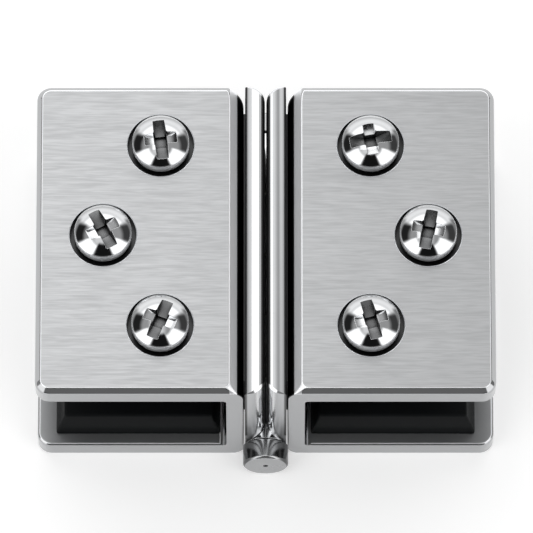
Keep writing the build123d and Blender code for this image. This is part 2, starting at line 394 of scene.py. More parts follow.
@dataclass(frozen=True)
class BrushedSteel:
    """Stainless steel with brushed faces, polished bevels and satin ends.

    Attributes:
        name: The material's name.
        polished: Reflectance of the polished bevels and the sides.
        bevel_highlight: Reflectance of the bevel beside the hinge plate, raised to paint a
            highlight on it.
        edge: Reflectance of the face's edges and of the back jaw's inner edge, raised to paint a
            highlight on them.
        brushed: Reflectance of the brushed faces.
        satin: Reflectance of the satin ends.
        slot: Reflectance of the slot's inside.
        painted_dark: Reflectance inside the holes and beside the hinge plate, where painted shade
            makes them near black.
        contrast: How far the brushing's streaks depart from its mean tone.
        milled_contrast: How far the milling marks of the ends and the slot do.
        brush_roughness: Roughness of the brushed faces.
        satin_roughness: Roughness of the satin ends.
        polish_roughness: Roughness of the polished parts.
        bevel_roughness: Roughness of the bevel beside the hinge plate.
        edge_roughness: Roughness of the face's edges.
        painted_dark_roughness: Roughness of the painted shade inside the holes and beside the hinge
            plate.
        highlight_reach: How far below the face the painted highlight on its edges reaches.
        rim_reach: How far from a hole its rim reaches.
        pivot_bevel: Width of the bevel beside the hinge plate.
        slot_wall: How far below the face the slot's inside ends.
        relief: Depth of the brushing.
        stretch: How far the brushing pulls a reflection across itself.
        brushing: The brushing's layers, each with its share.
        streak_range: The values of the layers' sum between which the tone changes.
        cloud: Unevenness of the polish.
        milling: The milling marks.
    """

    name: str = "brushed_steel"
    polished: float = 0.45
    bevel_highlight: float = 0.98
    edge: float = 0.98
    brushed: float = 0.42
    satin: float = 0.46
    slot: float = 0.37
    painted_dark: float = 0.05
    contrast: float = 0.09
    milled_contrast: float = 0.05
    brush_roughness: float = 0.34
    satin_roughness: float = 0.36
    polish_roughness: float = 0.045
    bevel_roughness: float = 0.38
    edge_roughness: float = 0.4
    painted_dark_roughness: float = 0.3
    highlight_reach: float = 0.3 * MM
    rim_reach: float = 0.3 * MM
    pivot_bevel: float = 1.05 * MM
    slot_wall: float = 3.2 * MM
    relief: float = 0.0012 * MM
    stretch: float = 0.6
    brushing: tuple[tuple[float, Grain], ...] = (
        (0.34, Grain((210.0, 6400.0, 210.0), 3.0, 0.4)),
        (0.44, Grain((260.0, 3500.0, 260.0), 2.0, 0.5)),
        (0.22, Grain((50.0, 1100.0, 50.0), 2.0, 0.6)),
    )
    streak_range: Point = (0.36, 0.64)
    cloud: Grain = Grain((90.0, 90.0, 90.0))
    milling: Grain = Grain((400.0, 400.0, 3800.0))

    def make(
        self, back: float, front: float, holes: Sequence[Point], hole_radius: float, flank: float
    ) -> Material:
        """Builds the material.

        Args:
            back: Height of the slot's back face.
            front: Height of the brushed front face above the back.
            holes: Centres of the clamp screws' holes on the right leaf.
            hole_radius: Radius of the holes at the face.
            flank: Distance from the middle of the hinge at which the pivot side's bevel starts.

        Returns:
            The material.
        """
        surface = Surface(self.name)
        _, along, out = surface.split(surface.facing)
        x, _, z = surface.split(surface.place)
        tilt, reach = surface.size(out), surface.size(x)
        to_hole = surface.from_holes(holes)
        from_middle = surface.size(surface.math("SUBTRACT", z, front / 2))
        # Where each finish lies, from the way a point faces and from its place.
        skin = surface.over(from_middle, front / 2 - HAIR)
        brushed = surface.times(surface.over(tilt, 0.998), skin)
        satin = surface.over(surface.size(along), 0.9)
        bored = surface.under(to_hole, hole_radius + HAIR)
        beside = surface.times(surface.under(reach, flank), surface.outside(satin))
        below = surface.under(z, front - 3 * HAIR)
        # Painted shade: the holes' insides and the recess beside the hinge plate are darkened to
        # near black.
        painted_dark = surface.times(surface.either(bored, beside), below)
        # Painted highlight: the bevel beside the hinge plate is lightened far past the other
        # polished bevels.
        pivot = surface.times(
            surface.under(reach, flank + self.pivot_bevel),
            surface.outside(satin),
            surface.outside(brushed),
        )
        # Painted highlight on the face's edges and the back jaw's inner edge; at the holes' rims it
        # stays only where the rim faces +Y, away from the near end.
        rims = surface.under(to_hole, hole_radius + self.rim_reach)
        lit_side = surface.mix(rims, 1.0, surface.span(along, -0.1, 0.12, 0.0, 1.0))
        jaw_highlight = surface.window(z, back - 0.4 * MM, back + 0.1 * MM, HAIR)
        at_edges = surface.either(surface.over(z, front - self.highlight_reach), jaw_highlight)
        edge = surface.times(surface.window(out, 0.86, 0.995, 0.02), at_edges, lit_side)
        in_slot = surface.window(z, back - 0.3 * MM, front - self.slot_wall, 0.05 * MM)
        inner = surface.times(in_slot, surface.over(tilt, 0.98))
        # The patterns.
        layers = [surface.times(surface.grain(grain), share) for share, grain in self.brushing]
        streaks = surface.plus(*layers)
        cloud, milled = surface.grain(self.cloud), surface.grain(self.milling)
        shade = surface.span(streaks, *self.streak_range, 0.0, 1.0)
        # Each layer of colour and of roughness covers those before it.
        colour = surface.tone(cloud, self.polished, 0.03)
        for mask, layer in (
            (pivot, steel(self.bevel_highlight)),
            (edge, steel(self.edge)),
            (satin, surface.tone(milled, self.satin, self.milled_contrast)),
            (inner, surface.tone(milled, self.slot, self.milled_contrast)),
            (brushed, surface.tone(shade, self.brushed, self.contrast)),
            (painted_dark, surface.tone(cloud, self.painted_dark, 0.3)),
        ):
            colour = surface.blend(mask, colour, layer)
        smooth, dull = self.brush_roughness * 0.88, self.brush_roughness * 1.12
        rough = surface.vary(cloud, self.polish_roughness * 0.8, self.polish_roughness * 1.3)
        for mask, layer in (
            (satin, surface.vary(milled, self.satin_roughness * 0.9, self.satin_roughness * 1.1)),
            (brushed, surface.span(streaks, *self.streak_range, dull, smooth)),
            (pivot, self.bevel_roughness),
            (edge, self.edge_roughness),
            (inner, self.satin_roughness),
            (painted_dark, self.painted_dark_roughness),
        ):
            rough = surface.mix(mask, rough, layer)
        relief = surface.plus(surface.times(streaks, brushed), surface.times(milled, satin, 0.3))
        surface.shader.inputs["Anisotropic"].default_value = self.stretch
        tangent = surface.add(
            "ShaderNodeVectorTransform",
            vector_type="VECTOR",
            convert_from="OBJECT",
            convert_to="WORLD",
        )
        tangent.inputs[0].default_value = (0.0, 1.0, 0.25)
        surface.join(tangent.outputs[0], surface.shader.inputs["Tangent"])
        return surface.finish(colour, rough, relief, self.relief, 0.0)


@dataclass(frozen=True)
class PolishedSteel:
    """Polished steel, with a faint swirl from the mop, and darkened by painted shade where a mask
    gives it.

    Attributes:
        name: The material's name.
        tint: Its reflectance.
        roughness: Its roughness.
        dull: Reflectance of the painted shade.
        dull_roughness: Roughness there.
        end_tint: Reflectance of its ends.
        end_roughness: Roughness of its ends.
        relief: Depth of the mop's marks.
    """

    name: str
    tint: float = 0.62
    roughness: float = 0.05
    dull: float = 0.06
    dull_roughness: float = 0.3
    end_tint: float = 0.52
    end_roughness: float = 0.34
    relief: float = 0.00012 * MM

    def make(
        self, painted_shade_zone: Callable[[Surface], Socket], ground: Callable[[Surface], Socket]
    ) -> Material:
        """Builds the material.

        Args:
            painted_shade_zone: Gives 1 on a surface where painted shade darkens it and 0 elsewhere.
            ground: Gives 1 where it is ground, like its ends, and 0 elsewhere.

        Returns:
            The material.
        """
        surface = Surface(self.name)
        swirl, hairs = surface.grain(MOP_SWIRL), surface.grain(MOP_HAIRS)
        mask = painted_shade_zone(surface)
        lengthwise = surface.size(surface.split(surface.facing)[1])
        ends = surface.either(surface.span(lengthwise, 0.8, 0.92, 0.0, 1.0), ground(surface))
        colour = surface.tone(swirl, self.tint, 0.04)
        colour = surface.blend(ends, colour, steel(self.end_tint))
        # Painted shade: the masked places are darkened to the dull reflectance.
        colour = surface.blend(mask, colour, surface.tone(swirl, self.dull, 0.15))
        rough = surface.span(hairs, *HAIRS_RANGE, self.roughness * 0.75, self.roughness * 1.4)
        rough = surface.mix(ends, rough, self.end_roughness)
        rough = surface.mix(mask, rough, self.dull_roughness)
        return surface.finish(colour, rough, hairs, self.relief, BROKEN_EDGE)


@dataclass(frozen=True)
class ScrewSteel:
    """Polished screw heads with a satin rim lightened by painted light, and a recess darkened by
    painted shade where its walls stand close.

    A face attribute called recess is 1 in the long slot and the core, and a half in the wings.

    Attributes:
        name: The material's name.
        tint: Reflectance of the dome.
        rim_tint: Reflectance of the head's rim and side, raised past steel's own to paint light on
            its satin.
        wing_tint: Reflectance of the wings.
        slot_tint: Reflectance of the long slot and the core.
        shade_reach: How near other faces lie where the recess gets painted shade.
        relief: Depth of the marks of the mop and the press.
        cloud: Marks of the press in the recess.
    """

    name: str = "screw_steel"
    tint: float = 0.66
    rim_tint: float = 0.95
    wing_tint: float = 0.6
    slot_tint: float = 0.1
    shade_reach: float = 1.1 * MM
    relief: float = 0.0006 * MM
    cloud: Grain = Grain((900.0, 900.0, 900.0), 4.0, 0.8)

    def make(self, dome_edge: float) -> Material:
        """Builds the material.

        Args:
            dome_edge: Height of the dome's edge, below which the rim is satin.

        Returns:
            The material.
        """
        surface = Surface(self.name)
        height = surface.split(surface.place)[2]
        mark = surface.add("ShaderNodeAttribute", attribute_name="recess").outputs["Fac"]
        wings, slots = surface.over(mark, 0.25), surface.over(mark, 0.75)
        rim = surface.span(height, dome_edge - HAIR, dome_edge + 3 * HAIR, 1.0, 0.0)
        rim = surface.times(rim, surface.outside(wings))
        swirl, hairs = surface.grain(MOP_SWIRL), surface.grain(MOP_HAIRS)
        cloud = surface.grain(self.cloud)
        # Painted shade: the recess is darkened where other faces stand close, and lightened where
        # its walls open out.
        hollow = surface.add("ShaderNodeAmbientOcclusion", samples=6)
        hollow.inputs["Distance"].default_value = self.shade_reach
        unshaded = surface.span(hollow.outputs["AO"], 0.35, 0.95, 0.0, 1.0)
        wing = surface.blend(unshaded, steel(self.wing_tint * 0.25), steel(self.wing_tint * 1.5))
        slot = surface.blend(unshaded, steel(self.slot_tint * 0.15), steel(self.slot_tint * 2.0))
        colour = surface.tone(swirl, self.tint, 0.04)
        # Painted light: the satin rim is lightened to near white.
        colour = surface.blend(rim, colour, steel(self.rim_tint))
        colour = surface.blend(wings, colour, wing)
        colour = surface.blend(slots, colour, slot)
        rough = surface.span(hairs, *HAIRS_RANGE, 0.035, 0.07)
        rough = surface.mix(rim, rough, 0.5)
        rough = surface.mix(wings, rough, surface.vary(cloud, 0.08, 0.16))
        rough = surface.mix(slots, rough, surface.vary(cloud, 0.22, 0.34))
        height = surface.mix(wings, hairs, cloud)
        return surface.finish(colour, rough, height, self.relief, BROKEN_EDGE)


@dataclass(frozen=True)
class TurnedSteel:
    """Polished steel turned on a lathe, with fine rings on its ends, painted shade on the left and
    right of its side, and painted shade in its centre marks.

    Attributes:
        name: The material's name.
        axis_height: Height of the axis, which lies along Y.
        tint: Reflectance of the polished side.
        flank_shade: Its reflectance to the left and right, darkened as painted shade.
        end_tint: Reflectance of the turned ends.
        mark_tint: Reflectance in the centre marks, near black as painted shade.
        mark_radius: Radius of the centre marks.
        ring_pitch: Distance between the rings.
        relief: Depth of the rings.
        cloud: Unevenness of the polish.
    """

    name: str
    axis_height: float
    tint: float = 0.45
    flank_shade: float = 0.12
    end_tint: float = 0.42
    mark_tint: float = 0.03
    mark_radius: float = 0.36 * MM
    ring_pitch: float = 0.14 * MM
    relief: float = 0.0008 * MM
    cloud: Grain = Grain((700.0, 700.0, 700.0))

    def make(self) -> Material:
        """Builds the material.

        Returns:
            The material.
        """
        surface = Surface(self.name)
        x, _, z = surface.split(surface.place)
        sideways, lengthwise, _ = surface.split(surface.facing)
        lift = surface.math("SUBTRACT", z, self.axis_height)
        radius = surface.math("SQRT", surface.plus(surface.times(x, x), surface.times(lift, lift)))
        wave = surface.math("SINE", surface.times(radius, 2 * math.pi / self.ring_pitch))
        rings = surface.plus(surface.times(wave, 0.5), 0.5)
        ends = surface.over(surface.size(lengthwise), 0.95)
        cloud = surface.grain(self.cloud)
        # Painted shade: the side darkens towards its left and right, by the way it faces.
        flanks = surface.span(surface.size(sideways), 0.3, 0.6, 0.0, 1.0)
        side = surface.blend(flanks, surface.tone(cloud, self.tint, 0.04), steel(self.flank_shade))
        end = surface.tone(surface.times(rings, cloud), self.end_tint, 0.15)
        # Painted shade: the centre marks are near black.
        marked = surface.under(radius, self.mark_radius)
        colour = surface.blend(marked, surface.blend(ends, side, end), steel(self.mark_tint))
        rough = surface.mix(ends, surface.vary(cloud, 0.14, 0.19), surface.vary(cloud, 0.26, 0.36))
        return surface.finish(colour, rough, surface.times(rings, ends), self.relief, 0.0)


@dataclass(frozen=True)
class RolledSteel:
    """Plain or zinc plated steel with a cloudy, slightly grained surface.

    Attributes:
        name: The material's name.
        tint: Its colour.
        roughness: Its roughness.
        relief: Depth of its grain.
        edge_break: Radius of its broken edges.
        cloud: The clouds in its colour.
        grain: Its grain, along the way it was rolled.
    """

    name: str
    tint: tuple[float, float, float]
    roughness: float
    relief: float = 0.002 * MM
    edge_break: float = 0.06 * MM
    cloud: Grain = Grain((420.0, 420.0, 420.0), 5.0, 0.8)
    grain: Grain = Grain((900.0, 3600.0, 900.0))

    def make(self) -> Material:
        """Builds the material.

        Returns:
            The material.
        """
        surface = Surface(self.name)
        cloud = surface.grain(self.cloud)
        colour = surface.stain(cloud, self.tint, 0.85, 1.12)
        rough = surface.vary(cloud, self.roughness * 0.8, self.roughness * 1.25)
        grain = surface.grain(self.grain)
        return surface.finish(colour, rough, grain, self.relief, self.edge_break)


@dataclass(frozen=True)
class Moulding:
    """Moulded rubber or nylon.

    Attributes:
        name: The material's name.
        colour: Its base colour.
        roughness: Its roughness.
        specular: How strongly it shines.
        relief: Depth of the grain left by the mould.
        pits: That grain.
        cloud: The clouds in its colour.
    """

    name: str
    colour: tuple[float, float, float]
    roughness: float
    specular: float = 0.5
    relief: float = 0.006 * MM
    pits: Grain = Grain((4000.0, 4000.0, 4000.0), 4.0)
    cloud: Grain = Grain((140.0, 140.0, 140.0))

    def make(self) -> Material:
        """Builds the material.

        Returns:
            The material.
        """
        surface = Surface(self.name, 0.0)
        surface.shader.inputs["Specular IOR Level"].default_value = self.specular
        pits = surface.grain(self.pits)
        colour = surface.stain(surface.grain(self.cloud), self.colour, 0.8, 1.25)
        rough = surface.vary(pits, self.roughness * 0.85, self.roughness * 1.15)
        return surface.finish(colour, rough, pits, self.relief, 0.0)


def middle(node: str) -> Vector:
    """Returns the middle of a CAD node's box."""
    low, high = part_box(node)
    return (Vector(low) + Vector(high)) / 2


def link(name: str, data: bpy.types.ID) -> Object:
    """Returns a new object that holds the data, linked to the scene.

    Args:
        name: The object's name.
        data: Its mesh, lamp or camera.

    Returns:
        The object.
    """
    piece = bpy.data.objects.new(name, data)
    bpy.context.scene.collection.objects.link(piece)
    return piece


def paint(piece: Object, material: Material) -> None:
    """Gives a piece one material all over.

    Args:
        piece: The piece.
        material: The material.
    """
    piece.data.materials.clear()
    piece.data.materials.append(material)
    for face in piece.data.polygons:
        face.material_index = 0


def shade(piece: Object, crease: float) -> None:
    """Shades a piece smoothly except where it turns by more than crease degrees.

    Args:
        piece: The piece.
        crease: Edges that turn by more than this many degrees stay sharp.
    """
    for face in piece.data.polygons:
        face.use_smooth = True
    piece.data.set_sharp_from_angle(angle=math.radians(crease))


def form(name: str, mesh: bmesh.types.BMesh, crease: float = 35.0) -> Object:
    """Turns a closed shape into an object with outward faces and crisp edges.

    Args:
        name: The object's name.
        mesh: The shape, which is freed.
        crease: Edges that turn by more than this many degrees stay sharp.

    Returns:
        The object, linked to the scene.
    """
    bmesh.ops.remove_doubles(mesh, verts=mesh.verts, dist=1e-8)
    bmesh.ops.recalc_face_normals(mesh, faces=mesh.faces)
    data = bpy.data.meshes.new(name)
    mesh.to_mesh(data)
    mesh.free()
    piece = link(name, data)
    shade(piece, crease)
    return piece


def settle(piece: Object, name: str) -> Object:
    """Turns a piece and its modifiers into a plain mesh.

    Args:
        piece: The piece with its modifiers, which is deleted.
        name: The name of the result.

    Returns:
        A new object with no modifiers, linked to the scene.
    """
    graph = bpy.context.evaluated_depsgraph_get()
    data = bpy.data.meshes.new_from_object(piece.evaluated_get(graph), depsgraph=graph)
    bpy.data.objects.remove(piece)
    data.name = name
    return link(name, data)


def carve(piece: Object, cutters: Sequence[Object], name: str) -> Object:
    """Cuts shapes out of a piece.

    Args:
        piece: The piece, which is deleted.
        cutters: The shapes, which are deleted too.
        name: The name of the result.

    Returns:
        What is left of the piece.
    """
    for cutter in cutters:
        step = piece.modifiers.new(cutter.name, "BOOLEAN")
        step.operation = "DIFFERENCE"
        step.solver = "EXACT"
        step.object = cutter
    result = settle(piece, name)
    for cutter in cutters:
        bpy.data.objects.remove(cutter)
    return result


def install(
    piece: Object, body: str, material: Material, nodes: Iterable[str]
) -> None:
    """Paints a finished piece and puts it on its body in place of its CAD nodes.

    Args:
        piece: The finished piece.
        body: The body that it moves with.
        material: Its finish.
        nodes: The CAD nodes that it stands for.
    """
    paint(piece, material)
    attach(piece, body)
    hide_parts(*nodes)
    LOG.info("%s: %d faces on %s", piece.name, len(piece.data.polygons), body)


class Axis(Enum):
    """The axes, each with the place of its own coordinate and those of the two others."""

    X = (0, 1, 2)
    Y = (1, 0, 2)
    Z = (2, 0, 1)

    def round(self, centre: Sequence[float] = (0.0, 0.0, 0.0), sign: float = 1.0) -> Placing:
        """Gives the way in which an outline is laid round the axis.

        Args:
            centre: A point on the axis.
            sign: -1 where places along the axis count the other way.

        Returns:
            It gives a point from its distance, its place along the axis and its angle.
        """
        own, first, second = self.value

        def place(radius: float, along: float, angle: float) -> Vector:
            """Lays one point round the axis.

            Args:
                radius: Distance from the axis.
                along: Place along it.
                angle: Angle round it.

            Returns:
                The point.
            """
            point = Vector(centre)
            point[own] = sign * along
            point[first] += radius * math.cos(angle)
            point[second] += radius * math.sin(angle)
            return point

        return place


def arc(opening: float, steps: int) -> list[float]:
    """Returns the angles from 0 to an opening, in so many steps."""
    return [opening * n / steps for n in range(steps + 1)]


def softened(points: Sequence[Point], radius: float, steps: int = 3) -> list[Point]:
    """Rounds the inner corners of an open outline.

    Args:
        points: The outline's corners, as distance from the axis and place along it.
        radius: How far from each corner its rounding starts.
        steps: Divisions of each rounding.

    Returns:
        The outline with a small curve at each of its inner corners.
    """
    result = [points[0]]
    for before, corner, after in zip(points, points[1:], points[2:]):
        here = Vector(corner)
        back, ahead = Vector(before) - here, Vector(after) - here
        reach = min(radius, back.length / 2, ahead.length / 2)
        start, end = here + back.normalized() * reach, here + ahead.normalized() * reach
        for share in arc(1.0, steps):
            point = start * (1 - share) ** 2 + here * 2 * share * (1 - share) + end * share**2
            result.append((point.x, point.y))
    result.append(points[-1])
    return result


def turned(outline: Sequence[Point], columns: int, place: Placing) -> bmesh.types.BMesh:
    """Turns an outline round an axis into a closed shape.

    Args:
        outline: Distances from the axis and places along it. Both ends lie on the axis,
            or on one point off it.
        columns: Divisions of the turn.
        place: Gives a point from its distance, its place along the axis and its angle.

    Returns:
        The shape.
    """
    mesh = bmesh.new()
    rings = []
    for radius, along in outline:
        count = 1 if radius < 1e-9 else columns
        angles = [2 * math.pi * n / columns for n in range(count)]
        rings.append([mesh.verts.new(place(radius, along, angle)) for angle in angles])
    for first, second in zip(rings, rings[1:]):
        for n in range(columns):
            lower = [first[n % len(first)], first[(n + 1) % len(first)]]
            upper = [second[(n + 1) % len(second)], second[n % len(second)]]
            corners = list(dict.fromkeys(lower + upper))
            if len(corners) > 2:
                mesh.faces.new(corners)
    return mesh


def stacked(outlines: Sequence[Sequence[Sequence[float]]]) -> bmesh.types.BMesh:
    """Joins outlines that have as many points each into a closed shape.

    Args:
        outlines: The outlines' points, from the first outline to the last.

    Returns:
        The shape, with its first and last outline filled.
    """
    mesh = bmesh.new()
    rings = [[mesh.verts.new(point) for point in outline] for outline in outlines]
    for first, second in zip(rings, rings[1:]):
        for n in range(len(first)):
            mesh.faces.new((first[n - 1], first[n], second[n], second[n - 1]))
    mesh.faces.new(rings[0])
    mesh.faces.new(rings[-1])
    return mesh


def block(lower: Point, upper: Point, floor: float, top: float) -> bmesh.types.BMesh:
    """Builds a block with leaning sides about the Z axis.

    Args:
        lower: Half its length and half its width at the floor.
        upper: Half its length and half its width at the top.
        floor: Height of its floor.
        top: Height of its top.

    Returns:
        The shape.
    """
    corners = ((-1, -1), (1, -1), (1, 1), (-1, 1))
    ends = ((lower, floor), (upper, top))
    return stacked([[(x * long, y * wide, z) for x, y in corners] for (long, wide), z in ends])


@dataclass
class CrossRecess:
    """A slotted cross recess with sloping floors and a deep square core.

    Attributes:
        slot_span: Length of the long slot where it breaks the head's surface.
        cross_span: Length of the slot across it.
        arm: Width of both slots.
        core: Width of the square core.
        depth: Depth of the core.
        slope: Fall of the floors, in degrees.
        flare: How much wider each wall is at the top than at the bottom.
        above: How far over the head the cuts start.
    """

    slot_span: float = 5.9 * MM
    cross_span: float = 4.65 * MM
    arm: float = 1.65 * MM
    core: float = 1.9 * MM
    depth: float = 2.4 * MM
    slope: float = 30.0
    flare: float = 0.16 * MM
    above: float = 0.6 * MM

    def cutters(self, head_top: float, dome_radius: float) -> list[Object]:
        """Builds the shapes that are cut out of a head.

        Args:
            head_top: Height of the head's top.
            dome_radius: Radius of its dome.

        Returns:
            Two slots and the core, as objects.
        """
        half_core, half_arm = self.core / 2, self.arm / 2
        top = head_top + self.above
        fall = math.tan(math.radians(self.slope))
        pieces = []
        slots = (("long_slot", self.slot_span, QUARTER), ("cross_slot", self.cross_span, 0.0))
        for name, span, turn in slots:
            rim = dome_radius - math.sqrt(dome_radius**2 - (span / 2) ** 2)
            depth = rim + (span / 2 - half_core) * fall
            reach = half_core + (depth + self.above) / fall
            lower, upper = (half_core, half_arm - self.flare), (reach, half_arm + self.flare)
            mesh = block(lower, upper, head_top - depth, top)
            mesh.transform(Matrix.Rotation(turn, 4, "Z"))
            pieces.append(form(name, mesh))
        low, high = half_core - self.flare, half_core + self.flare / 2
        pieces.append(form("core", block((low, low), (high, high), head_top - self.depth, top)))
        return pieces

    def cut(self, head: Object, head_top: float, dome_radius: float) -> Object:
        """Cuts the recess out of a head and marks its faces.

        Args:
            head: The head, which is deleted.
            head_top: Height of the head's top.
            dome_radius: Radius of its dome.

        Returns:
            The finished screw.
        """
        result = carve(head, self.cutters(head_top, dome_radius), "recessed_screw")
        shade(result, 32.0)
        marks = result.data.attributes.new("recess", "FLOAT", "FACE")
        dome = Vector((0.0, 0.0, head_top - dome_radius))
        lowest = head_top - self.depth - HAIR / 2
        for face, mark in zip(result.data.polygons, marks.data):
            place = face.center
            near = place.xy.length < self.slot_span / 2 and place.z > lowest
            if near and (place - dome).length < dome_radius - HAIR:
                mark.value = 0.5 if abs(place.x) > (self.core - HAIR) / 2 else 1.0
        return result

    def crown_loss(self, dome_radius: float) -> float:
        """Returns how far below the dome's top its highest part beside the recess is."""
        return dome_radius - math.sqrt(dome_radius**2 - (self.arm / 2) ** 2 - (self.core / 2) ** 2)


class CopyTree(Tree):
    """A Geometry Nodes tree that sets out copies of one master piece."""

    def __init__(self, name: str) -> None:
        """Starts a tree with a place for the master piece and its finish.

        Args:
            name: The tree's name.
        """
        super().__init__(bpy.data.node_groups.new(name, "GeometryNodeTree"))
        self.names: dict[str, str] = {}
        self.tree.interface.new_socket(
            name="Geometry", in_out="OUTPUT", socket_type="NodeSocketGeometry"
        )
        self.input("Master", "NodeSocketObject")
        self.input("Finish", "NodeSocketMaterial")

    def input(self, name: str, kind: str) -> None:
        """Adds a named input to the tree."""
        socket = self.tree.interface.new_socket(name=name, in_out="INPUT", socket_type=kind)
        self.names[name] = socket.identifier

    def start(self) -> tuple[bpy.types.Node, Socket]:
        """Adds the input node, and the node that reads the master piece.

        Returns:
            The input node, and the master piece as an instance.
        """
        group = self.add("NodeGroupInput")
        info = self.add("GeometryNodeObjectInfo")
        self.join(group.outputs["Master"], info.inputs["Object"])
        info.inputs["As Instance"].default_value = True
        return group, info.outputs["Geometry"]

    def end(self, group: bpy.types.Node, copies: Socket) -> None:
        """Makes the copies real and gives them their finish.

        Args:
            group: The tree's input node.
            copies: The copies, as instances.
        """
        real = self.add("GeometryNodeRealizeInstances")
        dress = self.add("GeometryNodeSetMaterial")
        output = self.add("NodeGroupOutput")
        self.join(copies, real.inputs["Geometry"])
        self.join(real.outputs["Geometry"], dress.inputs["Geometry"])
        self.join(group.outputs["Finish"], dress.inputs["Material"])
        self.join(dress.outputs["Geometry"], output.inputs["Geometry"])

    def run(self, name: str, master: Object, finish: Material, places: dict[str, object]) -> Object:
        """Sets out the copies.

        Args:
            name: The name of the finished piece.
            master: The piece that is copied, which is deleted.
            finish: Its material.
            places: A value for each of the tree's other inputs.

        Returns:
            The copies as one plain mesh.
        """
        host = link(name + "_host", bpy.data.meshes.new(name + "_host"))
        step = host.modifiers.new("copies", "NODES")
        step.node_group = self.tree
        for key, value in {"Master": master, "Finish": finish, **places}.items():
            step[self.names[key]] = value
        result = settle(host, name)
        bpy.data.objects.remove(master)
        return result


class TurnedSet(CopyTree):
    """Copies of a master piece, each at a place of its own and turned about Z."""

    def __init__(self) -> None:
        """Builds the tree with a place and a turn for each row."""
        super().__init__("turned_set")
        for row in Row:
            self.input(f"{row.value} place", "NodeSocketVector")
            self.input(f"{row.value} turn", "NodeSocketFloat")
        group, master = self.start()
        gather = self.add("GeometryNodeJoinGeometry")
        for row in Row:
            angles = self.add("ShaderNodeCombineXYZ")
            self.join(group.outputs[f"{row.value} turn"], angles.inputs["Z"])
            rotation = self.add("FunctionNodeEulerToRotation")
            self.join(angles.outputs[0], rotation.inputs[0])
            move = self.add("GeometryNodeTransform")
            self.join(master, move.inputs["Geometry"])
            self.join(group.outputs[f"{row.value} place"], move.inputs["Translation"])
            self.join(rotation.outputs[0], move.inputs["Rotation"])
            self.join(move.outputs[0], gather.inputs[0])
        self.end(group, gather.outputs[0])


class StraightRow(CopyTree):
    """Copies of a master piece along a straight line."""

    def __init__(self) -> None:
        """Builds the tree with a count, a first place and a step."""
        super().__init__("straight_row")
        self.input("Count", "NodeSocketInt")
        self.input("First", "NodeSocketVector")
        self.input("Step", "NodeSocketVector")
        group, master = self.start()
        line = self.add("GeometryNodeMeshLine", mode="OFFSET")
        self.join(group.outputs["Count"], line.inputs["Count"])
        self.join(group.outputs["First"], line.inputs["Start Location"])
        self.join(group.outputs["Step"], line.inputs["Offset"])
        copies = self.add("GeometryNodeInstanceOnPoints")
        self.join(line.outputs["Mesh"], copies.inputs["Points"])
        self.join(master, copies.inputs["Instance"])
        self.end(group, copies.outputs["Instances"])

    def lay(self, name: str, master: Object, finish: Material, nodes: Sequence[str]) -> Object:
        """Sets out a copy for each CAD node of an even row.

        Args:
            name: The name of the finished piece.
            master: The piece that is copied, which is deleted.
            finish: Its material.
            nodes: The row's nodes, in order.

        Returns:
            The copies as one plain mesh.
        """
        first, last = middle(nodes[0]), middle(nodes[-1])
        step = (last - first) / (len(nodes) - 1)
        places = {"Count": len(nodes), "First": tuple(first), "Step": tuple(step)}
        return self.run(name, master, finish, places)


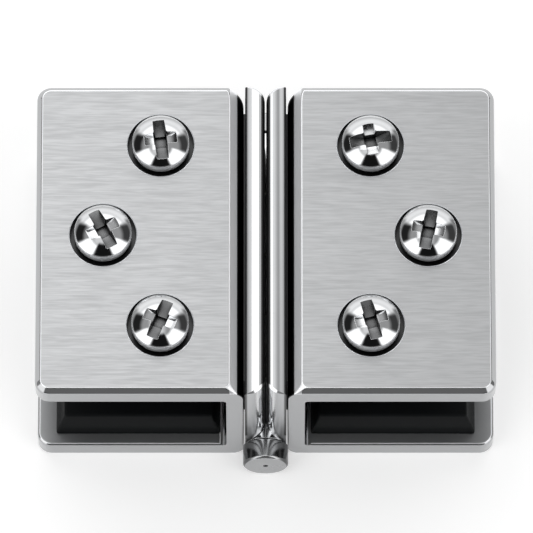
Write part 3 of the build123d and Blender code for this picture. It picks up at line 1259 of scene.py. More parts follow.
@dataclass
class ClampScrews:
    """The three domed screws of each clamp.

    Attributes:
        head_radius: Radius of the head.
        head_side: Height of the head's straight side.
        head_dome: Height of the dome above it.
        thread_radius: Outer radius of the thread.
        thread_depth: Depth of the thread's groove.
        pitch: Pitch of the thread.
        rim: Rounding between the dome and the side.
        columns: Divisions round the screw.
        dome_steps: Divisions of the dome from its top to its edge.
        pitch_steps: Divisions along each turn of the thread.
        drive: The recess.
        turns: How far each recess was left turned, in degrees.
    """

    head_radius: float = 4.0 * MM
    head_side: float = 1.7 * MM
    head_dome: float = 1.4 * MM
    thread_radius: float = 2.0 * MM
    thread_depth: float = 0.336 * MM
    pitch: float = 0.7 * MM
    rim: float = 0.24 * MM
    columns: int = 72
    dome_steps: int = 16
    pitch_steps: int = 6
    drive: CrossRecess = field(default_factory=CrossRecess)
    turns: dict[Side, tuple[float, float, float]] = field(
        default_factory=lambda: {
            Side.LEFT: (7.0, 27.0, -22.0),
            Side.RIGHT: (-80.0, -11.0, 15.0),
        }
    )

    def dome_radius(self) -> float:
        """Returns the radius of the dome's sphere."""
        return (self.head_radius**2 + self.head_dome**2) / (2 * self.head_dome)

    def outline(self, height: float, seat: float, neck: float) -> list[Point]:
        """Returns a screw's outline, from the top of its dome to the middle of its tip.

        Args:
            height: From the tip to the top of the dome.
            seat: Height of the head's underside.
            neck: Height at which the thread ends, under the head.

        Returns:
            Distances from the axis and heights.
        """
        radius = self.dome_radius()
        angles = arc(math.asin(self.head_radius / radius), self.dome_steps)[1:-1]
        centre = height - radius
        dome = [(radius * math.sin(t), centre + radius * math.cos(t)) for t in angles]
        corners = [
            dome[-1],
            (self.head_radius, height - self.head_dome),
            (self.head_radius, seat),
            (self.thread_radius, seat),
            (self.thread_radius, neck),
        ]
        rows = max(4, round(neck / self.pitch * self.pitch_steps))
        thread = [(self.thread_radius, neck * (1 - n / rows)) for n in range(1, rows + 1)]
        side = softened(corners, self.rim, 4)[1:]
        return [(0.0, height), *dome, *side, *thread, (0.0, 0.0)]

    def master(self, height: float) -> Object:
        """Builds one screw that stands on its tip at the origin.

        Args:
            height: From the tip to the top of the dome.

        Returns:
            The screw.
        """
        seat = height - self.head_dome - self.head_side
        neck = seat - self.pitch / 2
        root = self.thread_radius - self.thread_depth

        def place(radius: float, along: float, angle: float) -> Vector:
            """Puts a point on the screw, cut back where the thread has its groove.

            Args:
                radius: Distance from the axis.
                along: Height.
                angle: Angle round it.

            Returns:
                The point.
            """
            if 0 < along < neck - 1e-7 and radius > root:
                phase = (along / self.pitch - angle / (2 * math.pi)) % 1.0
                radius = root + (radius - root) * abs(2 * phase - 1)
            elif along <= 0 and radius > 0:
                radius = root
            return Vector((radius * math.cos(angle), radius * math.sin(angle), along))

        shape = turned(self.outline(height, seat, neck), self.columns, place)
        return self.drive.cut(form("clamp_screw", shape, 32.0), height, self.dome_radius())

    def build(self) -> None:
        """Builds both sets, one for each pressure body."""
        tree = TurnedSet()
        lost = self.drive.crown_loss(self.dome_radius())
        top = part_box(Side.RIGHT.node(f"clamp_screw_{Row.UPPER.value}"))[1][2] + lost
        material = ScrewSteel().make(top - self.head_dome)
        for side in Side:
            nodes = [side.node(f"clamp_screw_{row.value}") for row in Row]
            places: dict[str, object] = {}
            for row, node, turn in zip(Row, nodes, self.turns[side]):
                centre, low = middle(node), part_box(node)[0]
                places[f"{row.value} place"] = (centre.x, centre.y, low[2])
                places[f"{row.value} turn"] = math.radians(turn)
            low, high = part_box(nodes[0])
            master = self.master(high[2] - low[2] + lost)
            piece = tree.run(side.node("clamp_screws"), master, material, places)
            install(piece, side.pressure, material, nodes)


@dataclass
class PlateScrews:
    """The thin-headed screws that hold each clamp to its hinge plate.

    Attributes:
        shank_radius: Radius of the shank.
        head_thickness: Thickness of the head.
        recess_span: Span of the cross recess.
        recess_arm: Width of its arms.
        recess_depth: Its depth.
        edge: Rounding of the head's edge.
        columns: Divisions round the screw.
    """

    shank_radius: float = 1.5 * MM
    head_thickness: float = 1.25 * MM
    recess_span: float = 2.8 * MM
    recess_arm: float = 0.9 * MM
    recess_depth: float = 0.9 * MM
    edge: float = 0.2 * MM
    columns: int = 48

    def master(self, node: str, facing: float) -> Object:
        """Builds one screw about the origin.

        Args:
            node: The CAD node that gives its length and its head.
            facing: 1 where the head faces +X and -1 where it faces -X.

        Returns:
            The screw, with its axis along X and its middle at the origin.
        """
        low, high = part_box(node)
        half, head_radius = (high[0] - low[0]) / 2, (high[2] - low[2]) / 2
        seat = half - self.head_thickness
        corners = [
            (0.0, half),
            (head_radius, half),
            (head_radius, seat),
            (self.shank_radius, seat),
            (self.shank_radius, -half),
            (0.0, -half),
        ]
        shape = turned(softened(corners, self.edge), self.columns, Axis.X.round())
        arms = ((self.recess_span, self.recess_arm), (self.recess_arm, self.recess_span))
        cutters = []
        for wide, tall in arms:
            mesh = bmesh.new()
            bmesh.ops.create_cube(mesh, size=1.0)
            scale = Matrix.Diagonal((2 * self.recess_depth, wide, tall, 1))
            mesh.transform(Matrix.Translation((half, 0, 0)) @ scale)
            cutters.append(form("plate_screw_slot", mesh))
        result = carve(form("plate_screw", shape), cutters, "plate_screw_master")
        if facing < 0:
            result.data.transform(Matrix.Rotation(math.pi, 4, "Z"))
        shade(result, 35.0)
        return result

    def build(self, material: Material) -> None:
        """Builds a row of two for each leaf.

        Args:
            material: The screws' finish.
        """
        tree = StraightRow()
        for side in Side:
            nodes = [side.node(f"plate_screw_{row.value}") for row in (Row.LOWER, Row.UPPER)]
            master = self.master(nodes[0], math.copysign(1.0, middle(nodes[0]).x))
            piece = tree.lay(side.node("plate_screws"), master, material, nodes)
            install(piece, side.leaf, material, nodes)


@dataclass
class Washers:
    """The nylon washers between the knuckles.

    Attributes:
        bore: Radius of the hole.
        edge: Rounding of the rims.
        columns: Divisions round each washer.
    """

    bore: float = 2.04 * MM
    edge: float = 0.1 * MM
    columns: int = 64

    def build(self, material: Material) -> None:
        """Builds the row of washers.

        Args:
            material: The washers' finish.
        """
        nodes = sorted(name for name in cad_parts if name.startswith("knuckle_washer"))
        low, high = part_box(nodes[0])
        outer, half = (high[2] - low[2]) / 2, (high[1] - low[1]) / 2
        rim = [
            (outer, 0.0),
            (outer, half),
            (self.bore, half),
            (self.bore, -half),
            (outer, -half),
            (outer, 0.0),
        ]
        shape = turned(softened(rim, self.edge), self.columns, Axis.Y.round())
        master = form("washer_master", shape)
        piece = StraightRow().lay("knuckle_washers", master, material, nodes)
        install(piece, Side.RIGHT.leaf, material, nodes)


@dataclass
class Pin:
    """The hinge pin with its near cap, and the cap pressed on its far end.

    Attributes:
        radius: Radius of the pin.
        spigot_radius: Radius of the spigot at its far end.
        spigot_length: Length of the far cap's socket, which the spigot fills.
        spigot_fit: How much wider the socket is than the spigot.
        cap_length: Length of the near cap.
        bevel: Bevel round the end of each cap.
        rounding: Rounding of the bevel's edges.
        mark_radius: Radius of the lathe's centre mark.
        mark_depth: Its depth.
        columns: Divisions round the pin.
    """

    radius: float = 2.0 * MM
    spigot_radius: float = 1.5 * MM
    spigot_length: float = 2.2 * MM
    spigot_fit: float = 0.01 * MM
    cap_length: float = 3.0 * MM
    bevel: float = 0.3 * MM
    rounding: float = 0.16 * MM
    mark_radius: float = 0.4 * MM
    mark_depth: float = 0.35 * MM
    columns: int = 96

    def nose(self, cap_radius: float, end: float, inward: float) -> list[Point]:
        """Returns the outline of a cap's end, from the axis outwards.

        Args:
            cap_radius: Radius of the cap.
            end: Place of its end face.
            inward: 1 where the cap lies towards +Y of its end, or -1.

        Returns:
            The corners, starting in the centre mark.
        """
        return [
            (0.0, end + inward * self.mark_depth),
            (self.mark_radius, end),
            (cap_radius - self.bevel, end),
            (cap_radius, end + inward * self.bevel),
        ]

    def add(self, name: str, node: str, corners: Sequence[Point], material: Material) -> None:
        """Turns one of the two pieces and puts it in place of its CAD node.

        Args:
            name: The piece's name.
            node: The CAD node.
            corners: The corners of its outline.
            material: Its finish.
        """
        place = Axis.Y.round((0.0, 0.0, middle("pin_end_cap").z))
        shape = turned(softened(corners, self.rounding, 4), self.columns, place)
        install(form(name, shape, 50.0), Side.RIGHT.leaf, material, [node])

    def build(self, material: Material) -> None:
        """Builds the pin and the far cap.

        Args:
            material: Their finish.
        """
        low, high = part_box("hinge_pin")
        far_low, far_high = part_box("pin_end_cap")
        cap_radius = (far_high[0] - far_low[0]) / 2
        near_end, cap_back = low[1] + self.cap_length, far_low[1]
        pin = [
            *self.nose(cap_radius, low[1], 1.0),
            (cap_radius, near_end),
            (self.radius, near_end),
            (self.radius, cap_back),
            (self.spigot_radius, cap_back),
            (self.spigot_radius, high[1]),
            (0.0, high[1]),
        ]
        self.add("turned_pin", "hinge_pin", pin, material)
        socket = self.spigot_radius + self.spigot_fit
        cap = [
            *self.nose(cap_radius, far_high[1], -1.0),
            (cap_radius, cap_back),
            (socket, cap_back),
            (socket, cap_back + self.spigot_length),
            (0.0, cap_back + self.spigot_length),
        ]
        self.add("turned_end_cap", "pin_end_cap", cap, material)


@dataclass
class Pads:
    """The rubber pads and the steel plates that press them.

    Attributes:
        back_lean: How far the back pad's bottom and its top are smaller on each side.
        front_lean: How far the front pad's are.
        plate_lean: How far the steel plate's are.
        rubber_edge: Rounding of the rubber's edges.
        steel_edge: Rounding of the steel's edges.
    """

    back_lean: Point = (0.0, 1.3 * MM)
    front_lean: Point = (0.4 * MM, 0.0)
    plate_lean: Point = (0.0, 0.0)
    rubber_edge: float = 0.3 * MM
    steel_edge: float = 0.12 * MM

    def slab(self, node: str, name: str, leans: Point, edge: float) -> Object:
        """Builds a slab with leaning sides and rounded edges.

        Args:
            node: The CAD node whose box it fills.
            name: Its name.
            leans: How far its bottom and its top are smaller on each side.
            edge: Rounding of its edges.

        Returns:
            The slab.
        """
        low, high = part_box(node)
        centre = middle(node)
        half_x, half_y = (high[0] - low[0]) / 2, (high[1] - low[1]) / 2
        lower, upper = [(half_x - lean, half_y - lean) for lean in leans]
        mesh = block(lower, upper, low[2], high[2])
        mesh.transform(Matrix.Translation((centre.x, centre.y, 0.0)))
        edges = mesh.edges[:]
        bmesh.ops.bevel(mesh, geom=edges, offset=edge, segments=4, profile=0.5, affect="EDGES")
        return form(name, mesh, 60.0)

    def build(self, rubber: Material, steel_plate: Material) -> None:
        """Builds the pads and plates of both leaves.

        Args:
            rubber: The pads' finish.
            steel_plate: The plates' finish.
        """
        for side in Side:
            node, name = side.node("back_pad"), side.node("moulded_back_pad")
            piece = self.slab(node, name, self.back_lean, self.rubber_edge)
            install(piece, side.leaf, rubber, [node])
            node, name = side.node("front_pad"), side.node("moulded_front_pad")
            piece = self.slab(node, name, self.front_lean, self.rubber_edge)
            install(piece, side.pressure, rubber, [node])
            node, name = side.node("pressure_plate"), side.node("deburred_pressure_plate")
            piece = self.slab(node, name, self.plate_lean, self.steel_edge)
            install(piece, side.pressure, steel_plate, [node])


def inset_at(line: Sequence[Point], height: float) -> float:
    """Returns how far a profile lies in at a height.

    Args:
        line: The profile's points from the back upwards, as inset and height.
        height: The height.

    Returns:
        The inset, and the last one where the profile is level.
    """
    for (inset, start), (after, end) in zip(line, line[1:]):
        if start <= height < end:
            return inset + (after - inset) * (height - start) / (end - start)
    return line[-1][0]


@dataclass(frozen=True)
class Leaf:
    """The measures of a clamp's CAD box.

    Attributes:
        side: The leaf.
        sign: 1 for the right leaf and -1 for the left.
        inner: Distance of the pivot side from the middle of the hinge.
        outer: Distance of the outer side.
        end: Distance of the ends.
        front: Height of the face.
    """

    side: Side
    sign: float
    inner: float
    outer: float
    end: float
    front: float

    @classmethod
    def of(cls, side: Side) -> "Leaf":
        """Reads the measures of a side's clamp.

        Args:
            side: The leaf.

        Returns:
            Its measures.
        """
        low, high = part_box(side.node("clamp"))
        inner, outer = sorted((abs(low[0]), abs(high[0])))
        return cls(side, math.copysign(1.0, low[0] + high[0]), inner, outer, high[1], high[2])


@dataclass
class Clamp:
    """A clamp, built as a stack of rounded outlines and then slotted and drilled.

    Attributes:
        corner: Plan radius of the outer corners.
        pivot_corner: Plan radius of the far corner beside the hinge plate.
        mitre: Plan radius of the near corner beside the hinge plate, at the face.
        bevel: Height and width of the face's bevel.
        pivot_bevel: Width of the bevel on the pivot side.
        shoulder_width: Width of the rounded shoulder below it.
        shoulder_depth: Its depth.
        back_round: Rounding of the back edge beside the hinge plate.
        edge: Size of the broken edges.
        back_jaw: Thickness of the back jaw.
        front_jaw: Thickness of the front jaw.
        web: Thickness of the web between them.
        slot_round: Rounding of the slot's inner corners.
        slot_bevel: Bevel of the back jaw's inner edges.
        hole: Radius of a clamp screw's hole at the face.
        hole_edge: Depth of its broken edge, which is twice as wide.
        hole_depth: Depth of its wide part.
        thread: Radius of its thread.
        plate_hole: Radius of the plate screws' holes in the slot.
        plate_hole_depth: Depth of their wide part.
        plate_thread: Radius of their narrow part.
        clear: How far the holes' cutters reach past the clamp.
        slot_clear: How far the slot's cutter does.
        corner_steps: Divisions of each corner.
        curve_steps: Divisions of the back edge's rounding and of the shoulder.
        slot_steps: Divisions of the slot's inner corners.
        hole_columns: Divisions round a clamp screw's hole.
        plate_columns: Divisions round a plate screw's hole.
    """

    corner: float = 2.0 * MM
    pivot_corner: float = 2.4 * MM
    mitre: float = 0.9 * MM
    bevel: float = 0.75 * MM
    pivot_bevel: float = 1.05 * MM
    shoulder_width: float = 0.9 * MM
    shoulder_depth: float = 1.95 * MM
    back_round: float = 2.0 * MM
    edge: float = 0.3 * MM
    back_jaw: float = 3.1 * MM
    front_jaw: float = 3.4 * MM
    web: float = 2.4 * MM
    slot_round: float = 0.6 * MM
    slot_bevel: float = 0.45 * MM
    hole: float = 4.7 * MM
    hole_edge: float = 0.06 * MM
    hole_depth: float = 1.6 * MM
    thread: float = 2.05 * MM
    plate_hole: float = 2.85 * MM
    plate_hole_depth: float = 1.35 * MM
    plate_thread: float = 1.55 * MM
    clear: float = 1.0 * MM
    slot_clear: float = 4.0 * MM
    corner_steps: int = 12
    curve_steps: int = 8
    slot_steps: int = 6
    hole_columns: int = 96
    plate_columns: int = 48

    def profiles(self, front: float) -> tuple[list[Point], list[Point]]:
        """Returns the profile of the outer sides and that of the pivot side.

        Args:
            front: Height of the face.

        Returns:
            Each profile's points from the back upwards, as inset and height.
        """
        foot = front - self.bevel
        outer = [
            (self.edge / 2, 0.0),
            (0.0, self.edge / 2),
            (0.0, foot),
            (self.bevel, front),
            (self.bevel + self.edge, front),
        ]
        back = self.back_round
        radius = (self.shoulder_width**2 + self.shoulder_depth**2) / (2 * self.shoulder_width)
        shoulder = arc(math.asin(self.shoulder_depth / radius), self.curve_steps)
        start = foot - self.shoulder_depth
        pivot = [
            *[
                (back * (1 - math.sin(t)), back * (1 - math.cos(t)))
                for t in arc(QUARTER, self.curve_steps)
            ],
            *[(radius * (1 - math.cos(t)), start + radius * math.sin(t)) for t in shoulder],
        ]
        rim = self.shoulder_width + self.pivot_bevel
        face = softened([*pivot[-2:], (rim, front), (rim + self.edge, front)], self.edge, 4)
        return softened(outer, self.edge, 4), pivot[:-2] + face

    def outline(self, leaf: Leaf, height: float, sides: float, pivot: float) -> list[Vector]:
        """Returns the clamp's outline at a height.

        Args:
            leaf: The clamp's measures.
            height: The height.
            sides: How far the outer sides lie in.
            pivot: How far the pivot side lies in.

        Returns:
            The outline's points, in order round the clamp.
        """
        share = min(1.0, max(0.0, (height - leaf.front + self.bevel) / self.bevel))
        mitre = self.edge / 2 + (self.mitre - self.edge / 2) * share
        outer, far = leaf.outer - self.corner, leaf.end - self.corner
        round_out, beside = self.corner - sides, self.pivot_corner
        corners = (
            (leaf.inner + pivot + mitre, -leaf.end + sides + mitre, mitre, mitre),
            (outer, -far, round_out, round_out),
            (outer, far, round_out, round_out),
            (leaf.inner + beside, leaf.end - beside, beside - pivot, beside - sides),
        )
        points = []
        for quarter, (x, y, wide, deep) in enumerate(corners, start=2):
            for turn in arc(QUARTER, self.corner_steps):
                angle = quarter * QUARTER + turn
                across, along = x + wide * math.cos(angle), y + deep * math.sin(angle)
                points.append(Vector((leaf.sign * across, along, height)))
        return points

    def blank(self, leaf: Leaf) -> Object:
        """Builds the clamp before it is slotted and drilled.

        Args:
            leaf: The clamp's measures.

        Returns:
            The clamp, solid.
        """
        sides, pivot = self.profiles(leaf.front)
        heights = sorted({round(height, 9) for _, height in sides + pivot})
        outlines = [
            self.outline(leaf, height, inset_at(sides, height), inset_at(pivot, height))
            for height in heights
        ]
        return form(leaf.side.node("clamp_blank"), stacked(outlines))

    def slot_cutter(self, leaf: Leaf) -> Object:
        """Builds the shape of the slot, which runs out of the clamp's outer side and ends.

        Args:
            leaf: The clamp's measures.

        Returns:
            The shape that is cut away.
        """
        wall, beyond = leaf.inner + self.web, leaf.outer + self.slot_clear
        low, high, r = self.back_jaw, leaf.front - self.front_jaw, self.slot_round
        quarter = arc(QUARTER, self.slot_steps)
        section = [
            (beyond, low),
            *[(wall + r * (1 - math.sin(t)), low + r * (1 - math.cos(t))) for t in quarter],
            *[(wall + r * (1 - math.cos(t)), high - r * (1 - math.sin(t))) for t in quarter],
            (beyond, high),
        ]
        past = leaf.end + self.slot_clear
        ends = [[(leaf.sign * x, y, z) for x, z in section] for y in (-past, past)]
        return form("slot_cutter", stacked(ends))

    def drills(self, leaf: Leaf) -> list[Object]:
        """Builds the shapes of the clamp screws' and the plate screws' holes.

        Args:
            leaf: The clamp's measures.

        Returns:
            The shapes that are cut away, one for each hole.
        """
        front, rim = leaf.front, self.hole + self.hole_edge * 2
        under = front - self.front_jaw - self.clear
        stepped = [
            (0.0, under),
            (self.thread, under),
            (self.thread, front - self.hole_depth),
            (self.hole, front - self.hole_depth),
            (self.hole, front - self.hole_edge),
            (rim, front),
            (rim, front + self.clear),
            (0.0, front + self.clear),
        ]
        wall = leaf.inner + self.web
        floor, beyond = wall - self.plate_hole_depth, wall + self.clear
        across = [
            (0.0, leaf.inner - self.clear),
            (self.plate_thread, leaf.inner - self.clear),
            (self.plate_thread, floor),
            (self.plate_hole, floor),
            (self.plate_hole, beyond),
            (0.0, beyond),
        ]
        cutters = []
        for row in Row:
            place = Axis.Z.round(middle(leaf.side.node(f"clamp_screw_{row.value}")))
            cutters.append(form(f"drill_{row.value}", turned(stepped, self.hole_columns, place)))
        for row in (Row.UPPER, Row.LOWER):
            centre = middle(leaf.side.node(f"plate_screw_{row.value}"))
            shape = turned(across, self.plate_columns, Axis.X.round(centre, leaf.sign))
            cutters.append(form(f"plate_drill_{row.value}", shape))
        return cutters

    def break_jaw(self, piece: Object, leaf: Leaf) -> None:
        """Rounds the edges of the back jaw's inner face, out from the slot's corner.

        Args:
            piece: The slotted clamp.
            leaf: Its measures.
        """
        near = 0.001 * MM
        start = leaf.inner + self.web + self.slot_round + self.slot_bevel
        mesh = bmesh.new()
        mesh.from_mesh(piece.data)

        def off(vert: bmesh.types.BMVert) -> float:
            """Returns how far a point is from the jaw's inner face."""
            return abs(vert.co.z - self.back_jaw)

        faces = [face for face in mesh.faces if any(off(vert) < near for vert in face.verts)]
        parts = [part for face in faces for part in (face, *face.edges, *face.verts)]
        bmesh.ops.bisect_plane(
            mesh,
            geom=list(dict.fromkeys(parts)),
            dist=near,
            plane_co=(leaf.sign * start, 0, 0),
            plane_no=(1, 0, 0),
        )
        mesh.normal_update()
        edges = []
        for edge in mesh.edges:
            level = all(off(vert) <= near for vert in edge.verts)
            outside = all(abs(vert.co.x) >= start - near for vert in edge.verts)
            tilts = sorted(face.normal.z for face in edge.link_faces)
            if len(tilts) == 2 and level and outside and tilts[1] > 0.99 and abs(tilts[0]) < 0.1:
                edges.append(edge)
        bmesh.ops.bevel(
            mesh,
            geom=edges,
            offset=self.slot_bevel,
            segments=4,
            profile=0.5,
            affect="EDGES",
            clamp_overlap=False,
        )
        mesh.to_mesh(piece.data)
        mesh.free()

    def build(self, side: Side, material: Material) -> None:
        """Builds a leaf's clamp.

        Args:
            side: The leaf.
            material: The clamp's finish.
        """
        leaf = Leaf.of(side)
        cutters = [self.slot_cutter(leaf), *self.drills(leaf)]
        piece = carve(self.blank(leaf), cutters, side.node("slotted_clamp"))
        self.break_jaw(piece, leaf)
        shade(piece, 25.0)
        weights = piece.modifiers.new("weights", "WEIGHTED_NORMAL")
        weights.keep_sharp = True
        piece = settle(piece, side.node("brushed_clamp"))
        install(piece, side.leaf, material, [side.node("clamp")])


@dataclass
class HingePlates:
    """The hinge plates, which keep their CAD shapes and get their finish.

    Attributes:
        tint: Reflectance of their polish.
        seam: How far from the seam the crowns are darkened by painted shade.
        seam_depth: How far down from their tops.
        end_seam: How far from the seam they are darkened by painted shade below that.
        mating: Distance from the middle within which a face is one of the two that meet.
        gap: How far out they are darkened by painted shade, in the gap beside the clamps.
        gap_soft: Softness of that edge.
        blade_foot: Height above which the blades stand clear of the knuckles.
    """

    tint: float = 0.75
    seam: float = 0.55 * MM
    seam_depth: float = 1.3 * MM
    end_seam: float = 0.4 * MM
    mating: float = 0.2 * MM
    gap: float = 2.6 * MM
    gap_soft: float = 0.12 * MM
    blade_foot: float = 7.0 * MM

    def painted_shade_zone(self, surface: Surface) -> Socket:
        """Returns where painted shade darkens the blades, along the seam and in the gap beside the
        clamps.

        Args:
            surface: The surface.

        Returns:
            1 where painted shade darkens it, and 0 elsewhere.
        """
        x, _, z = surface.split(surface.place)
        reach = surface.size(x)
        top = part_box(Side.RIGHT.node("hinge_plate"))[1][2]
        depth = self.seam_depth
        # Painted shade along the seam near the tops and at the ends, and in the gap beside the
        # clamps.
        near_top = surface.span(z, top - depth * 1.2, top - depth, 0.0, 1.0)
        share = surface.math("DIVIDE", reach, surface.mix(near_top, self.end_seam, self.seam))
        seam = surface.span(share, 0.7, 1.3, 1.0, 0.0)
        seam = surface.times(seam, surface.outside(self.meeting(surface)))
        gap = surface.span(reach, self.gap - self.gap_soft, self.gap + self.gap_soft, 0.0, 1.0)
        return surface.times(surface.plus(seam, gap), surface.over(z, self.blade_foot))

    def meeting(self, surface: Surface) -> Socket:
        """Returns where the two blades meet, which is ground and not polished.

        Args:
            surface: The surface.

        Returns:
            1 where it is ground, and 0 elsewhere.
        """
        reach = surface.size(surface.split(surface.place)[0])
        sideways = surface.size(surface.split(surface.facing)[0])
        return surface.times(surface.over(sideways, 0.95), surface.under(reach, self.mating))

    def build(self) -> None:
        """Dresses both hinge plates."""
        finish = PolishedSteel("polished_steel", tint=self.tint)
        material = finish.make(self.painted_shade_zone, self.meeting)
        for side in Side:
            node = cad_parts[side.node("hinge_plate")]
            paint(node, material)
            LOG.info("%s: %d faces dressed", side.node("hinge_plate"), len(node.data.polygons))


@dataclass(frozen=True)
class Patch:
    """A patch of the studio's surroundings, placed by direction.

    Attributes:
        across: Its edges to the left and right of the zenith for a softbox overhead. For a
            panel, its near and far side, in degrees round from the camera's side.
        along: Its edges towards the camera and away from it for a softbox. For a panel, its
            lower and upper edge, in degrees above the floor.
        level: Its brightness.
        soft: Softness of its edges, in degrees.
        side: The side of the hinge that it is on, or None for both.
    """

    across: Point
    along: Point
    level: float
    soft: float
    side: Side | None = None


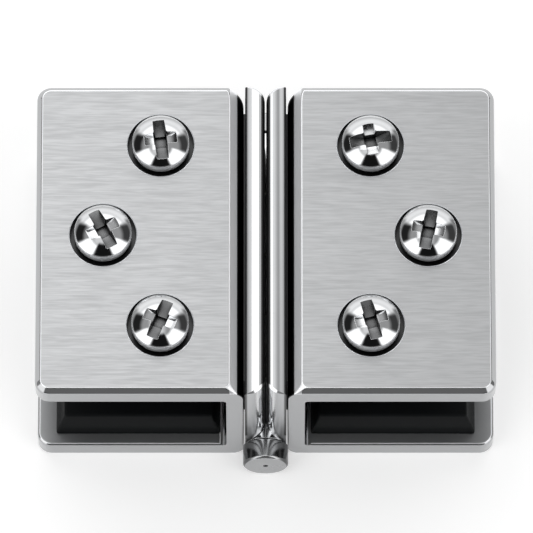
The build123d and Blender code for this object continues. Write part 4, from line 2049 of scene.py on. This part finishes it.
@dataclass
class Studio:
    """The floor, the lights and the camera.

    Attributes:
        elevation: The camera's elevation above the floor, in degrees.
        distance: From the camera to its target.
        target: The point in the middle of the view.
        view_mm: How wide a millimetre shows at the target.
        view_width: Width of the whole view in the same units.
        dome: Brightness of the surroundings where nothing else stands.
        softboxes: The lights overhead.
        panels: The panels, later ones in front of earlier ones.
        floor_half: Half the floor's width.
        floor_bounce: Reflectance of the floor for the light that it throws on the hinge.
        floor_shade: Its reflectance as it is seen, and in mirrors.
        floor_glow: Its own light there, which makes it near white.
        lamp_size: Width and length of the lamp.
        lamp_power: Its power in watts.
        lamp_place: Its place.
    """

    elevation: float = 68.0
    distance: float = 1.5
    target: tuple[float, float, float] = (0.125 * MM, 0.376 * MM, 12.0 * MM)
    view_mm: float = 7.083
    view_width: float = 533.0
    dome: float = 0.42
    softboxes: tuple[Patch, ...] = (Patch((-24.0, 11.0), (-22.0, 52.0), 0.97, 9.0),)
    panels: tuple[Patch, ...] = (
        Patch((130, 220), (26, 54), 1.7, 7.0),
        Patch((130, 220), (-40, 26), 1.2, 8.0),
        Patch((136, 220), (-40, 7), 0.7, 8.0),
        Patch((31, 84), (-20, 61), 1.7, 4.5),
        Patch((84, 130), (14, 42), 0.02, 7.0, Side.LEFT),
        Patch((85, 129), (14, 41), 0.06, 7.0, Side.RIGHT),
        Patch((84, 138), (-20, 15), 0.42, 5.0, Side.LEFT),
        Patch((84, 138), (-20, 16), 0.28, 5.0, Side.RIGHT),
        Patch((-40, 33), (12, 31), 0.24, 5.0),
        Patch((-40, 33), (-20, 12), 0.02, 5.0),
        Patch((-40, 29), (31, 69), 0.01, 5.0),
    )
    floor_half: float = 3.0
    floor_bounce: float = 0.8
    floor_shade: float = 0.72
    floor_glow: float = 0.43
    lamp_size: Point = (0.125, 0.34)
    lamp_power: float = 0.094
    lamp_place: tuple[float, float, float] = (-0.0575, 0.14, 0.3)

    def floor_material(self) -> Material:
        """Builds the floor's finish, near white where it is seen and plain for the light.

        Returns:
            The material.
        """
        material = bpy.data.materials.new("pale_floor")
        material.use_nodes = True
        tree = Tree(material.node_tree)
        output = tree.add("ShaderNodeOutputMaterial")
        plain, shaded = tree.add("ShaderNodeBsdfDiffuse"), tree.add("ShaderNodeBsdfDiffuse")
        plain.inputs["Color"].default_value = grey(self.floor_bounce)
        shaded.inputs["Color"].default_value = grey(self.floor_shade)
        glow = tree.add("ShaderNodeEmission")
        glow.inputs["Color"].default_value = grey(1.0)
        glow.inputs["Strength"].default_value = self.floor_glow
        bright = tree.add("ShaderNodeAddShader")
        tree.join(shaded.outputs[0], bright.inputs[0])
        tree.join(glow.outputs[0], bright.inputs[1])
        rays = tree.add("ShaderNodeLightPath").outputs
        mirrored = tree.either(rays["Is Glossy Ray"], rays["Is Transmission Ray"])
        choice = tree.add("ShaderNodeMixShader")
        tree.join(tree.either(rays["Is Camera Ray"], mirrored), choice.inputs[0])
        tree.join(plain.outputs[0], choice.inputs[1])
        tree.join(bright.outputs[0], choice.inputs[2])
        tree.join(choice.outputs[0], output.inputs["Surface"])
        return material

    def floor(self) -> None:
        """Lays a pale floor under the hinge."""
        half = self.floor_half
        corners = [(-half, -half, 0), (half, -half, 0), (half, half, 0), (-half, half, 0)]
        mesh = bpy.data.meshes.new("floor")
        mesh.from_pydata(corners, [], [(0, 1, 2, 3)])
        mesh.materials.append(self.floor_material())
        link("floor", mesh)

    def sky(self) -> None:
        """Stands the softboxes over the hinge and the panels round it."""
        world = bpy.data.worlds.new("studio")
        bpy.context.scene.world = world
        world.use_nodes = True
        tree = Tree(world.node_tree)
        output = tree.add("ShaderNodeOutputWorld")
        background = tree.add("ShaderNodeBackground")
        tree.join(background.outputs[0], output.inputs["Surface"])
        x, y, z = tree.split(tree.add("ShaderNodeTexCoord").outputs["Generated"])
        overhead = (tree.math("ARCTAN2", x, z), tree.math("ARCTAN2", y, z))
        turn = tree.math("ARCTAN2", tree.size(x), tree.times(y, -1.0))
        around = (turn, tree.math("ARCSINE", z))
        patches = [(box, overhead) for box in self.softboxes]
        patches += [(panel, around) for panel in self.panels]
        level: object = self.dome
        for patch, angles in patches:
            soft = math.radians(patch.soft)
            windows = [
                tree.window(angle, math.radians(low), math.radians(high), soft)
                for angle, (low, high) in zip(angles, (patch.across, patch.along))
            ]
            mask = tree.times(*windows)
            if patch.side is Side.RIGHT:
                mask = tree.times(mask, tree.over(x, 0.0))
            elif patch.side is Side.LEFT:
                mask = tree.times(mask, tree.under(x, 0.0))
            level = tree.mix(mask, level, patch.level)
        camera = tree.add("ShaderNodeLightPath").outputs["Is Camera Ray"]
        tree.join(tree.mix(camera, level, 1.0), background.inputs["Strength"])
        background.inputs["Color"].default_value = grey(1.0)

    def overhead(self) -> None:
        """Hangs a lamp over the left leaf, which leaves the right one a little darker."""
        data = bpy.data.lights.new("overhead_softbox", "AREA")
        data.shape = "RECTANGLE"
        data.size, data.size_y = self.lamp_size
        data.energy = self.lamp_power
        link("overhead_softbox", data).location = self.lamp_place

    def camera(self) -> None:
        """Sets the camera in front of the near end and above it."""
        data = bpy.data.cameras.new("camera")
        camera = link("camera", data)
        rise = math.radians(self.elevation)
        back = Vector((0.0, -math.cos(rise), math.sin(rise)))
        camera.location = Vector(self.target) + back * self.distance
        camera.rotation_mode = "QUATERNION"
        camera.rotation_quaternion = (-back).to_track_quat("-Z", "Y")
        data.lens = self.view_mm * self.distance / MM * data.sensor_width / self.view_width
        data.clip_start = 0.05
        data.clip_end = 20.0
        bpy.context.scene.camera = camera

    def build(self) -> None:
        """Makes the whole studio."""
        self.floor()
        self.sky()
        self.overhead()
        self.camera()
        bpy.context.scene.view_settings.view_transform = "Standard"


def main() -> None:
    """Builds the hinge's looks and its studio."""
    logging.basicConfig(level=logging.INFO, format="%(name)s: %(message)s")
    clamp, leaf = Clamp(), Leaf.of(Side.RIGHT)
    holes = [tuple(middle(Side.RIGHT.node(f"clamp_screw_{row.value}")).xy) for row in Row]
    flank = leaf.inner + clamp.shoulder_width
    brushed = BrushedSteel().make(clamp.back_jaw, leaf.front, holes, clamp.hole, flank)
    for side in Side:
        clamp.build(side, brushed)
    HingePlates().build()
    ClampScrews().build()
    PlateScrews().build(RolledSteel("zinc_plate", (0.6, 0.6, 0.62), 0.3).make())
    Washers().build(Moulding("nylon", (0.7, 0.69, 0.65), 0.4).make())
    Pin().build(TurnedSteel("turned_steel", middle("pin_end_cap").z).make())
    rubber = Moulding("black_rubber", (0.0045, 0.0053, 0.0058), 0.42, specular=0.1)
    Pads().build(rubber.make(), RolledSteel("rolled_steel", (0.5, 0.51, 0.53), 0.35).make())
    Studio().build()


if __name__ == "__main__":
    main()
